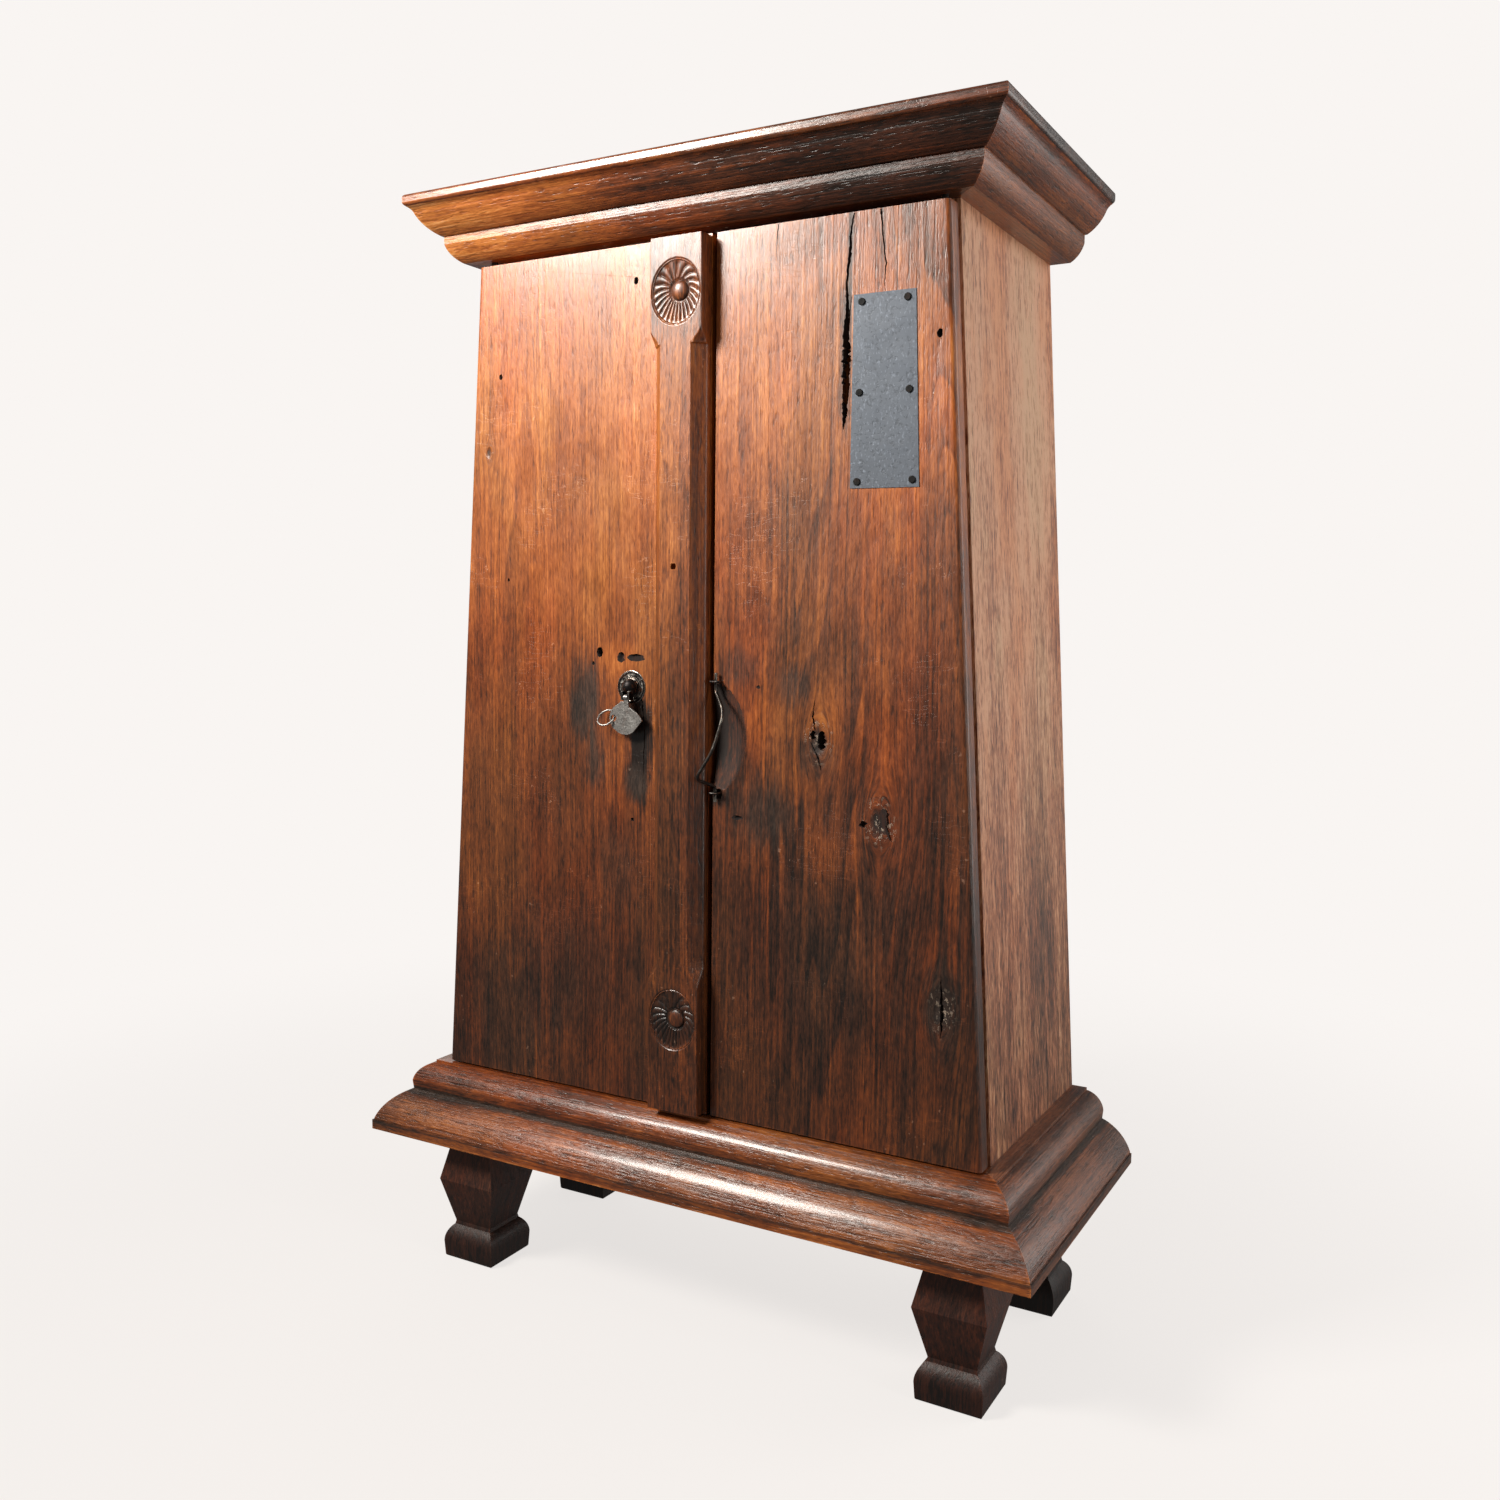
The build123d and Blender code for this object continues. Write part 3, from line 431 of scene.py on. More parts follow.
def zinc(name, tint, contrast, rough, metallic=0.9):
    """Zinc sheet with a faint crystal pattern, water marks and dull spots."""
    g = Graph(name)
    drift = g.node("ShaderNodeTexNoise", {"Vector": g.coords, "Scale": 30.0}).outputs[1]
    drift = g.scaled(drift, (0.02, 0.02, 0.02))
    warped = g.node("ShaderNodeVectorMath", {0: g.coords, 1: drift}, operation="ADD").outputs[0]
    crystal = g.cells(warped, 55.0, output="Color")
    tone = g.node("ShaderNodeSeparateColor", {0: crystal}).outputs[0]
    cloud = g.noise(g.coords, 9.0, 5.0, 0.6)
    speck = g.span(g.noise(g.coords, 300.0, 3.0, 0.6), 0.52, 0.66)
    fleck = g.span(g.noise(g.scaled(g.coords, (500.0, 500.0, 240.0)), 1.0, 2.0, 0.6), 0.56, 0.70)
    mark = g.noise(g.scaled(g.coords, (14.0, 14.0, 3.0)), 1.0, 4.0, 0.6)
    value = g.add(g.about_half(tone, contrast), g.about_half(cloud, 0.5), g.about_half(mark, 0.35), 0.5)
    colour = g.mix(g.span(value, 0.1, 0.9), tuple(c * 0.55 for c in tint), tint)
    colour = g.mix(g.times(speck, 0.5), colour, tuple(c * 0.35 for c in tint))
    colour = g.mix(g.times(fleck, 0.45), colour, tuple(c * GLINT for c in tint))
    rough_value = g.add(rough, g.about_half(cloud, 0.3), g.times(tone, 0.08))
    height = g.add(g.times(cloud, 1.4), g.times(mark, 0.4), g.times(speck, -0.1))
    return g.finish(colour, rough_value, height, BUMP_DISTANCE, 0.6, metallic=metallic)


CORK_GRAINS = 230.0                       # granules per metre
CORK_BINDER = (0.05, 0.025, 0.012)
CORK = [
    (0.0, (0.09, 0.045, 0.02)),
    (0.35, (0.30, 0.17, 0.08)),
    (0.7, (0.46, 0.29, 0.15)),
    (1.0, (0.60, 0.42, 0.25)),
]


def cork(name):
    """Pressed cork: pale and dark granules in a brown binder."""
    g = Graph(name)
    grain = g.cells(g.coords, CORK_GRAINS, output="Color")
    tone = g.node("ShaderNodeSeparateColor", {0: grain}).outputs[0]
    gap = g.span(g.cells(g.coords, CORK_GRAINS, "DISTANCE_TO_EDGE"), 0.0, 0.09, 1.0, 0.0)
    fine = g.noise(g.coords, 700.0, 2.0)
    colour = g.ramp(g.add(g.times(tone, 0.75), g.times(fine, 0.3)), CORK)
    colour = g.mix(g.times(gap, 0.7), colour, CORK_BINDER)
    height = g.add(g.times(gap, -0.6), g.times(fine, 0.3), g.times(tone, 0.4))
    return g.finish(colour, g.add(0.82, g.times(fine, 0.1)), height, 0.0006, 0.9)


# ------------------------------------------------------------------ the materials

# Tone of the wood at heights in metres: darker towards the bottom, partly the wood's own darkening and partly
# painted shade where the lamp's light falls off downwards.
LEFT_TONES = (
    (0.22, 0.24), (0.34, 0.26), (0.44, 0.28), (0.55, 0.33), (0.65, 0.42), (0.75, 0.53), (0.86, 0.57),
    (0.96, 0.66), (1.05, 0.65), (1.13, 0.60))
RIGHT_TONES = (
    (0.22, 0.25), (0.34, 0.25), (0.45, 0.28), (0.60, 0.37), (0.70, 0.44), (0.80, 0.51), (0.90, 0.64),
    (0.98, 0.69), (1.05, 0.54), (1.13, 0.42))
STRIP_TONES = (
    (0.22, 0.24), (0.33, 0.30), (0.40, 0.35), (0.48, 0.30), (0.55, 0.27), (0.65, 0.34), (0.75, 0.42),
    (0.92, 0.58), (1.02, 0.57), (1.06, 0.42), (1.13, 0.38))

# Stains and worn patches, and painted shade by the finger hollow: X and Z in millimetres, half width, half
# height, and how much paler.
LEFT_STAINS = [
    (-127, 432, 24, 62, -0.32), (-66, 478, 15, 4, -0.30), (-85, 478, 6, 5, -0.3), (-118, 368, 22, 42, -0.22),
    (-58, 388, 16, 60, -0.85), (-66, 345, 22, 22, -0.34), (-83, 476, 36, 28, 0.16),
    (-150, 140, 100, 90, -0.10), (-240, 60, 90, 100, -0.10), (-120, 560, 60, 50, 0.06),
    (-210, 700, 40, 120, 0.05), (-95, 250, 40, 70, -0.08), (-52, 830, 14, 60, 0.05),
]
RIGHT_STAINS_AND_SHADE = [
    # The first row is painted shade: black in the gap between the strip and the finger hollow.
    (26, 418, 11, 54, -1.10), (47, 392, 24, 58, -0.20), (32, 340, 16, 14, -0.30), (290, 420, 130, 300, -0.05),
    (150, 600, 100, 200, -0.06), (86, 322, 52, 46, -0.20), (122, 455, 18, 28, -0.16), (87, 418, 30, 36, 0.12),
    (160, 410, 17, 62, 0.13), (55, 470, 26, 24, -0.12), (150, 385, 26, 30, -0.14), (172, 330, 40, 50, -0.06),
    (284, 150, 22, 55, -0.20), (180, 180, 140, 120, -0.08), (100, 560, 60, 50, 0.06),
    (172, 762, 9, 70, -0.30), (176, 870, 5, 50, -0.22), (208, 866, 4, 42, -0.20), (120, 880, 90, 26, -0.06),
    (270, 600, 50, 60, -0.05), (235, 590, 26, 30, 0.10), (110, 620, 40, 60, -0.05),
]
# Painted shade: black at the left of the finger hollow, under the pull.
HOLLOW_PAINTED_SHADE = [(34, 418, 10, 50, -0.60)]

# Knots: X, Z and radius in millimetres.
LEFT_KNOTS = [(-262, 700, 4)]
RIGHT_KNOTS = [(150, 402, 10), (217, 326.5, 11), (284, 150, 9)]

# Painted shade in the two hollows of the base, all round: across and along the grain, half width, half
# length, tone.
BASE_HOLLOW_SHADE = [
    (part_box("base_torus_front")[0].z, 0.0, 0.0035, 4.0, -0.34),
    (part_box("base_frame_front")[0].z + 0.010, 0.0, 0.0030, 4.0, -0.20),
]


# What is carved below the strip's face is darker, the lower rosette more. The radius covers a rosette and its
# rim.
CARVING_DARK_RADIUS = 0.031
CARVING_DARK_TONES = (-0.26, -0.10)
STRIP_MIDDLE = (STRIP_LOW.x + STRIP_HIGH.x) / 2
STRIP_CARVING_DARK = [
    (STRIP_MIDDLE, z, CARVING_DARK_RADIUS, STRIP_LOW.y, amount) for z, amount in zip(ROSETTES, CARVING_DARK_TONES)]


def stains_and_shade_on_door(rows):
    return [(*on_door(x, z), wide * MM, tall * MM, amount) for x, z, wide, tall, amount in rows]


def knots_on_door(rows):
    return [(*on_door(x, z), radius * MM) for x, z, radius in rows]


looks = {
    "left_door": wood("left_board", "XYZ", tones=LEFT_TONES, seed=3.7, coat=0.28, skin=FRONT,
                      stains_and_shade=stains_and_shade_on_door(LEFT_STAINS), knots=knots_on_door(LEFT_KNOTS)),
    "right_door": wood("right_board", "XYZ", tones=RIGHT_TONES, seed=9.1, coat=0.28, skin=FRONT,
                       stains_and_shade=stains_and_shade_on_door(RIGHT_STAINS_AND_SHADE), knots=knots_on_door(RIGHT_KNOTS), lines=0.26),
    # The finger hollow, with painted shade at its left.
    "hollow": wood("hollow_wood", "XYZ", tones=((0.22, 0.17), (1.13, 0.17)), seed=9.1, rough=0.75,
                   coat=0.0, stains_and_shade=stains_and_shade_on_door(HOLLOW_PAINTED_SHADE), scratches=0.2),
    # Walls of the cracks, holes and knot hollows: near black, painted shade down in the cuts.
    "cut_shade": wood("cut_shade_wood", "XYZ", palette=DARK, tones=((0.22, 0.03), (1.13, 0.03)), seed=9.1, rough=0.85,
                  coat=0.0, wear_and_highlight=0.05, scratches=0.0),
    "strip": wood("strip_wood", "XYZ", seed=5.3, rings=1.4, relief=0.8, tones=STRIP_TONES, coat=0.28,
                  streaks=1.15, carving_dark=STRIP_CARVING_DARK),
    "left_side": wood("left_side_wood", "YXZ", seed=12.0, rings=1.2,
                      tones=((0.2, 0.42), (0.6, 0.55), (1.15, 0.62))),
    # The right side's greyer palette is partly painted sheen.
    "right_side": wood("right_side_wood", "YXZ", palette=GREYED_AND_SHEEN, seed=14.5, rings=1.6, rough=0.50,
                       coat=0.05, streaks=2.4, blotches=1.6,
                       # Paler towards the top: partly the wood's own colour, partly painted light falling
                       # from above.
                       tones=((0.2, 0.42), (0.45, 0.56), (0.7, 0.84), (1.15, 0.92))),
    # Lighter at the left and darker at the right: painted light and shade, as the lamp stands to the left.
    "cornice_x": wood("cornice_front_wood", "ZYX", seed=17.0, level="X", wear_and_highlight=0.2, rough=0.38, relief=2.0,
                      scratches=0.12, coat=0.14, blotches=1.5,
                      tones=((-0.35, 0.80), (-0.15, 0.60), (-0.02, 0.34), (0.13, 0.08), (0.35, 0.02))),
    "cornice_y": wood("cornice_side_wood", "ZXY", seed=19.0, tones=((-0.2, 0.42), (0.2, 0.42)), level="Y",
                      wear_and_highlight=0.2, rough=0.34),
    # Lighter at the left and darker at the right: painted light and shade, as on the cornice.
    "top_x": wood("top_wood", "YZX", seed=23.0, tones=((-0.35, 0.52), (0.05, 0.36), (0.35, 0.14)), level="X",
                  wear_and_highlight=0.24, rough=0.30, coat=0.5, blotches=1.5),
    # Palest a little right of the middle: painted highlight where the lamp gleams on the mouldings.
    "base_x": wood("base_front_wood", "ZYX", seed=27.0, level="X",
                   tones=((-0.4, 0.40), (-0.05, 0.42), (0.15, 0.52), (0.4, 0.44)),
                   # The base's hollows get painted shade.
                   wear_and_highlight=0.26, rough=0.34, coat=0.45, relief=2.4, blotches=1.9, stains_and_shade=BASE_HOLLOW_SHADE),
    # The base's sides: the greyer palette is partly painted sheen.
    "base_y": wood("base_side_wood", "ZXY", palette=GREYED_AND_SHEEN, seed=29.0, tones=((-0.2, 0.27), (0.2, 0.30)),
                   # The hollows get painted shade here too.
                   level="Y", wear_and_highlight=0.30, rough=0.40, coat=0.2, relief=1.6, blotches=1.4, stains_and_shade=BASE_HOLLOW_SHADE),
    "foot": wood("foot_wood", "XYZ", palette=DARK, seed=31.0, tones=((0.0, 0.10), (0.05, 0.22), (0.15, 0.44)),
                 rough=0.5, wear_and_highlight=0.18, coat=0.05),
    # The rear feet: the feet's wood made near black, painted shade for feet that stand back under the icebox.
    "shaded_rear_foot": wood("shaded_rear_foot_wood", "XYZ", palette=DARK, seed=33.0, tones=((0.0, 0.02), (0.15, 0.08)),
                      rough=0.6, wear_and_highlight=0.08, coat=0.0),
    "raw_z": wood("raw_upright_wood", "XYZ", palette=RAW, seed=35.0, tones=((0.0, 0.45), (1.2, 0.5)),
                  rough=0.62, coat=0.0, wear_and_highlight=0.05),
    "raw_x": wood("raw_level_wood", "YZX", palette=RAW, seed=37.0, tones=((-0.4, 0.5), (0.4, 0.5)), level="X",
                  rough=0.62, coat=0.0, wear_and_highlight=0.05),
    "raw_y": wood("raw_deep_wood", "ZXY", palette=RAW, seed=39.0, tones=((-0.2, 0.5), (0.2, 0.5)), level="Y",
                  rough=0.62, coat=0.0, wear_and_highlight=0.05),
    "back": wood("back_wood", "XYZ", palette=GREYED_AND_SHEEN, seed=41.0, tones=((0.0, 0.36), (1.2, 0.44)), rough=0.6,
                 coat=0.0, rings=1.2),
    "cork": cork("cork"),
    "zinc": zinc("zinc_sheet", (0.50, 0.52, 0.53), 0.35, 0.40),
    "patch": zinc("patch_sheet", (0.108, 0.126, 0.155), 0.10, 0.50, 0.35),
    "nail": iron("old_nail", (0.006, 0.006, 0.006), (0.05, 0.048, 0.045), 0.6, 0.1, rust=0.04),
    # The pull's pale edges are partly painted highlight.
    "pull": iron("handled_and_highlit_iron", (0.030, 0.026, 0.023), (0.62, 0.58, 0.52), 0.40, 0.35, rust=0.4),
    "dome": iron("rough_iron", (0.012, 0.010, 0.010), (0.60, 0.56, 0.50), 0.42, 0.30, rust=0.5),
    "iron": iron("forged_iron", (0.020, 0.017, 0.016), (0.36, 0.34, 0.32), 0.48, 0.25),
    "bright": iron("worn_iron", (0.20, 0.19, 0.18), (0.72, 0.70, 0.66), 0.42, 0.7, rust=0.2),
}

LOOK_OF = {
    "left_door": "left_door", "right_door": "right_door", "center_strip": "strip",
    "left_side": "left_side", "right_side": "right_side",
    "cornice_front": "cornice_x", "cornice_left": "cornice_y", "cornice_right": "cornice_y",
    "cornice_rail": "cornice_x", "top_board": "top_x",
    "base_rail": "base_x", "base_frame_front": "base_x", "base_torus_front": "base_x",
    "base_frame_rear": "base_x", "base_frame_left": "base_y", "base_frame_right": "base_y",
    "base_torus_left": "base_y", "base_torus_right": "base_y",
    "floor_board": "raw_x", "ceiling_board": "raw_x", "back_boards": "back", "cleats": "raw_y",
    "left_stile": "raw_z", "right_stile": "raw_z", "lower_shelf": "raw_x", "upper_shelf": "raw_x",
    "left_battens": "raw_x", "right_battens": "raw_x",
    "ice_pan": "zinc", "drip_pan": "zinc", "drain_tube": "zinc", "patch_plate": "patch",
    "drop_handle": "bright", "drop_ring": "bright", "patch_nails": "nail", "pull_handle": "pull",
}


def dress(obj, look):
    """Gives a CAD object its material, in its slots and not in its mesh."""
    if not obj.material_slots:
        obj.data.materials.append(None)
    for slot in obj.material_slots:
        slot.link = "OBJECT"
        slot.material = looks[look]


for node, obj in NODES.items():
    if node in LOOK_OF:
        look = LOOK_OF[node]
    elif node.endswith("_foot"):
        # The rear feet take the darker look, painted shade.
        look = "shaded_rear_foot" if "rear" in node else "foot"
    elif node.startswith("cork_"):
        look = "cork"
    elif node.startswith("liner_"):
        look = "zinc"
    else:
        look = "iron"
    dress(obj, look)


# ------------------------------------------------------------------ pieces


def piece(name, bm, look, body, smooth=35.0):
    """A finished object from a bmesh, riding on a body."""
    bmesh.ops.recalc_face_normals(bm, faces=bm.faces)
    mesh = bpy.data.meshes.new(name)
    bm.to_mesh(mesh)
    bm.free()
    obj = bpy.data.objects.new(name, mesh)
    bpy.context.scene.collection.objects.link(obj)
    mesh.materials.append(looks[look])
    mesh.polygons.foreach_set("use_smooth", [True] * len(mesh.polygons))
    mesh.set_sharp_from_angle(angle=math.radians(smooth))
    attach(obj, body)
    return obj


def steps(low, high, size):
    """Even places from low to high, about size apart, both ends included."""
    count = max(1, round((high - low) / size))
    return [low + (high - low) * i / count for i in range(count + 1)]


ROSETTE_WIDE = 0.0292                       # half width and half height of a rosette
ROSETTE_TALL = 0.0330
RIM_FROM = 0.93                             # the rim starts at this share of the rosette's radius
RIM_DEPTH = 0.0009
RAYS = 11.0
DISH_EDGE, DISH_MIDDLE, RAY_DEPTH = 0.0012, 0.0022, 0.0013
BUTTON_AT = (0.0028, 0.0012)                # the button is off the rosette's middle
BUTTON_RADIUS = 0.0096
BUTTON_FOOT, BUTTON_RISE = 0.0036, 0.0034
RING_DEPTH = 0.0044
CHAMFER = 0.0125
CHAMFER_ENDS = (DOOR_LOW + 0.138, DOOR_LOW + 0.158, DOOR_LOW + 0.791, DOOR_LOW + 0.808)


def chamfer_at(z):
    """How deep the strip's chamfer is at a height: it ends in an ogee at both stops."""
    low, low_full, high_full, high = CHAMFER_ENDS
    if z <= low or z >= high:
        return 0.0
    if z < low_full:
        t = (z - low) / (low_full - low)
        return CHAMFER * (t * t * (3 - 2 * t)) * 0.92
    if z > high_full:
        t = (high - z) / (high - high_full)
        return CHAMFER * (t * t * (3 - 2 * t)) * 0.80
    return CHAMFER


def rosette_depth(dx, dz):
    """Depth of a carved rosette under the strip's face: drooping rays round a button, in a raised rim."""
    u, w = dx / ROSETTE_WIDE, dz / ROSETTE_TALL
    r = math.hypot(u, w)
    if r > 1.0:
        return 0.0
    if r > RIM_FROM:
        return RIM_DEPTH * math.sin(math.pi * min(1.0, (1.0 - r) / 0.07))
    angle = math.atan2(w, u)
    angle += 0.75 * math.cos(angle) * (r - 0.3) + 0.18 * r
    ray = abs(math.sin(angle * RAYS))
    cut = (1.0 - ray ** 0.6) * min(1.0, (RIM_FROM - r) / 0.10)
    dish = DISH_EDGE + DISH_MIDDLE * (1.0 - r) ** 0.8
    depth = dish + RAY_DEPTH * cut
    b = math.hypot(dx - BUTTON_AT[0], dz - BUTTON_AT[1]) / BUTTON_RADIUS
    if b < 1.0:
        depth = BUTTON_FOOT - BUTTON_RISE * math.sqrt(1.0 - b * b)
    elif b < 1.3:
        depth = max(depth, RING_DEPTH - 0.003 * (b - 1.0))
    return depth


NAIL_HOLE = Vector(on_door(-7.7, 572))
NAIL_HOLE_RADIUS = 0.0030
NAIL_HOLE_DEPTH = 0.006
CARVED = 0.034                              # half height of the fine mesh round a rosette
FINE, MIDDLING, COARSE = 0.0006, 0.0015, 0.009
ROUND_OFF = 0.0012                          # radius of the strip's arrises
UNEVEN = 0.0003                             # hand-planed surface


def strip_rows():
    """Heights of the strip's mesh: close together at the rosettes, the nail hole and the chamfer's stops."""
    rows = []
    marks = [STRIP_LOW.z]
    for z in ROSETTES:
        marks += [z - CARVED, z + CARVED]
    marks += [NAIL_HOLE.y - NAIL_HOLE_RADIUS, NAIL_HOLE.y + NAIL_HOLE_RADIUS]
    marks += list(CHAMFER_ENDS) + [STRIP_HIGH.z]
    marks = sorted(marks)
    for low, high in zip(marks, marks[1:]):
        middle = (low + high) / 2
        carved = min(abs(middle - z) for z in ROSETTES) < CARVED
        nailed = abs(middle - NAIL_HOLE.y) < NAIL_HOLE_RADIUS
        stop = any(a < middle < b for a, b in (CHAMFER_ENDS[:2], CHAMFER_ENDS[2:]))
        rows += steps(low, high, FINE if carved or nailed else MIDDLING if stop else COARSE)[:-1]
        if abs(high - CHAMFER_ENDS[2]) < 1e-9:
            rows.append(high - 0.0002)
    return sorted(set(rows)) + [marks[-1]]


def strip_depth(x, z):
    """Depth of the strip's surface under its face."""
    edge = min(x - STRIP_LOW.x, STRIP_HIGH.x - x)
    depth = max(0.0, chamfer_at(z) - edge)
    if edge < ROUND_OFF:
        depth += ROUND_OFF - math.sqrt(max(0.0, ROUND_OFF ** 2 - (ROUND_OFF - edge) ** 2))
    for middle in ROSETTES:
        if abs(z - middle) < ROSETTE_TALL:
            depth = max(depth, rosette_depth(x - STRIP_MIDDLE, z - middle))
    if math.hypot(x - NAIL_HOLE.x, z - NAIL_HOLE.y) < NAIL_HOLE_RADIUS:
        depth += NAIL_HOLE_DEPTH
    broad = noise.noise(Vector((x * 38, 4.0, z * 11)))
    close = noise.noise(Vector((x * 150, 9.0, z * 30)))
    return depth + UNEVEN * (1.0 + (broad + 0.4 * close))


def carved_strip():
    """The strip with its two rosettes, stop chamfers and nail hole, in place of the CAD strip."""
    left, right = STRIP_LOW.x, STRIP_HIGH.x
    face, back = STRIP_LOW.y, STRIP_HIGH.y
    rows = strip_rows()
    columns = steps(left, right, FINE)
    bm = bmesh.new()
    grid, behind = [], []
    for z in rows:
        grid.append([bm.verts.new((x, min(face + strip_depth(x, z), back - 2 * MM), z)) for x in columns])
        behind.append((bm.verts.new((left, back, z)), bm.verts.new((right, back, z))))
    for i in range(len(rows) - 1):
        for j in range(len(columns) - 1):
            bm.faces.new((grid[i][j], grid[i][j + 1], grid[i + 1][j + 1], grid[i + 1][j]))
        bm.faces.new((grid[i][0], grid[i + 1][0], behind[i + 1][0], behind[i][0]))
        bm.faces.new((grid[i][-1], behind[i][1], behind[i + 1][1], grid[i + 1][-1]))
        bm.faces.new((behind[i][0], behind[i + 1][0], behind[i + 1][1], behind[i][1]))
    for i in (0, -1):
        bm.faces.new([behind[i][0], *grid[i], behind[i][1]])
    made = piece("carved_strip", bm, "strip", "left_door", 32.0)
    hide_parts("center_strip")


carved_strip()


BROAD = 2e-4                                # faces larger than this, in square metres, are shaded flat
FACING = 0.9999                             # and so are faces turned this squarely to the front or back
PROUD = 1.5                                 # how far cutters stand out of the door's face, in millimetres
SLIT_STEP = 2.0


def bake_modifiers(obj):
    """Puts the shape that the modifiers give into the object's own mesh."""
    shape = bpy.data.meshes.new_from_object(
        obj.evaluated_get(bpy.context.evaluated_depsgraph_get()),
        preserve_all_data_layers=True, depsgraph=bpy.context.evaluated_depsgraph_get())
    obj.modifiers.clear()
    obj.data = shape
    shape.polygons.foreach_set("use_smooth", [True] * len(shape.polygons))


def slit(bm, marks, depth, rough, seed):
    """A closed cutter down a line of marks (x, z, half width in millimetres), narrower at its bottom."""
    rows = []
    for (x0, z0, h0), (x1, z1, h1) in zip(marks, marks[1:]):
        count = max(2, round(abs(z1 - z0) / SLIT_STEP))
        rows += [(x0 + (x1 - x0) * i / count, z0 + (z1 - z0) * i / count, h0 + (h1 - h0) * i / count)
                 for i in range(count)]
    rows.append(marks[-1])
    last = None
    for i, (x, z, half) in enumerate(rows):
        inner = 0 < i < len(rows) - 1
        sway = rough * noise.noise(Vector((seed, 1.0, z * 0.11))) if inner else 0.0
        left = half * (1.0 + rough * noise.noise(Vector((seed, 5.0, z * 0.35))) * inner)
        right = half * (1.0 + rough * noise.noise(Vector((seed, 9.0, z * 0.35))) * inner)
        corners = ((-left, -PROUD), (right, -PROUD), (right * 0.3, depth), (-left * 0.3, depth))
        ring = []
        for dx, dy in corners:
            corner_x, corner_z = on_door(x + sway + dx, z)
            ring.append(bm.verts.new((corner_x, FRONT + dy * MM, corner_z)))
        if last is None:
            bm.faces.new(ring)
        else:
            for j in range(4):
                bm.faces.new((last[j], ring[j], ring[(j + 1) % 4], last[(j + 1) % 4]))
        last = ring
    bm.faces.new(list(reversed(last)))


def hole(bm, x, z, wide, tall, depth, rough, seed):
    """A hole of the given half width and half height in millimetres, with an uneven edge."""
    marks = [(x, z + tall * math.sin(math.radians(a)), max(0.15, wide * math.cos(math.radians(a))))
             for a in range(-84, 85, 24)]
    slit(bm, marks, depth, rough, seed)


def worn_board(name, node, look, cutters, hollow=None):
    """A door board with its cracks, knot hollows and old nail holes, in place of the CAD board.

    Faces of the CAD board inside the hollow box, the worn finger hollow, get a look of their own.
    """
    source = NODES[node]
    bm = bmesh.new()
    bm.from_mesh(source.data)
    bmesh.ops.remove_doubles(bm, verts=bm.verts, dist=1e-6)
    bmesh.ops.delete(bm, geom=[v for v in bm.verts if not v.link_faces], context="VERTS")
    board = piece(name, bm, look, node, 30.0)
    bmesh.ops.recalc_face_normals(cutters, faces=cutters.faces)
    knife_mesh = bpy.data.meshes.new(name + "_knife")
    # The cutters' faces become the walls of the cuts, painted near black as shade.
    knife_mesh.materials.append(looks["cut_shade"])
    cutters.to_mesh(knife_mesh)
    cutters.free()
    knife = bpy.data.objects.new(name + "_knife", knife_mesh)
    bpy.context.scene.collection.objects.link(knife)
    cut = board.modifiers.new("cut", "BOOLEAN")
    cut.operation = "DIFFERENCE"
    cut.solver = "EXACT"
    cut.use_self = True
    cut.material_mode = "TRANSFER"
    cut.object = knife
    bake_modifiers(board)
    board.data.set_sharp_from_angle(angle=math.radians(30.0))
    if hollow:
        board.data.materials.append(looks["hollow"])
        low, high = hollow
        for face in board.data.polygons:
            at = face.center
            inside = low.x < at.x < high.x and low.z < at.z < high.z and low.y < at.y < high.y
            if inside and face.material_index == 0:
                face.material_index = len(board.data.materials) - 1
    even = board.modifiers.new("even", "WEIGHTED_NORMAL")
    even.mode = "FACE_AREA"
    even.weight = 100
    even.keep_sharp = True
    bake_modifiers(board)
    normals = [Vector(corner.vector) for corner in board.data.corner_normals]
    for face in board.data.polygons:
        if face.area > BROAD or abs(face.normal.y) > FACING:
            for corner in face.loop_indices:
                normals[corner] = face.normal
    board.data.normals_split_custom_set(normals)
    bpy.data.objects.remove(knife)
    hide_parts(node)


def left_board():
    """Nail and worm holes, gouges above the latch, and a split below it."""
    bm = bmesh.new()
    hole(bm, -112.5, 483, 4.6, 5.4, 8, 0.2, 1.0)
    hole(bm, -121, 471, 2.4, 2.2, 1.5, 0.6, 2.0)
    hole(bm, -66, 478, 15, 4.0, 2.4, 0.4, 3.0)
    hole(bm, -85, 478, 6, 5.6, 3.4, 0.6, 3.5)
    hole(bm, -67, 864, 3.2, 3.8, 6, 0.4, 4.0)
    hole(bm, -245, 780.5, 3.0, 3.0, 4, 0.3, 5.0)
    hole(bm, -236, 560, 1.8, 1.8, 3, 0.3, 6.0)
    hole(bm, -70, 306, 2.6, 2.0, 2, 0.8, 6.5)
    slit(bm, [(-66, 455, 0.3), (-58, 430, 1.4), (-55, 400, 1.0), (-57, 340, 0.2)], 2.0, 1.0, 7.0)
    worn_board("left_board_worn", "left_door", "left_door", bm)


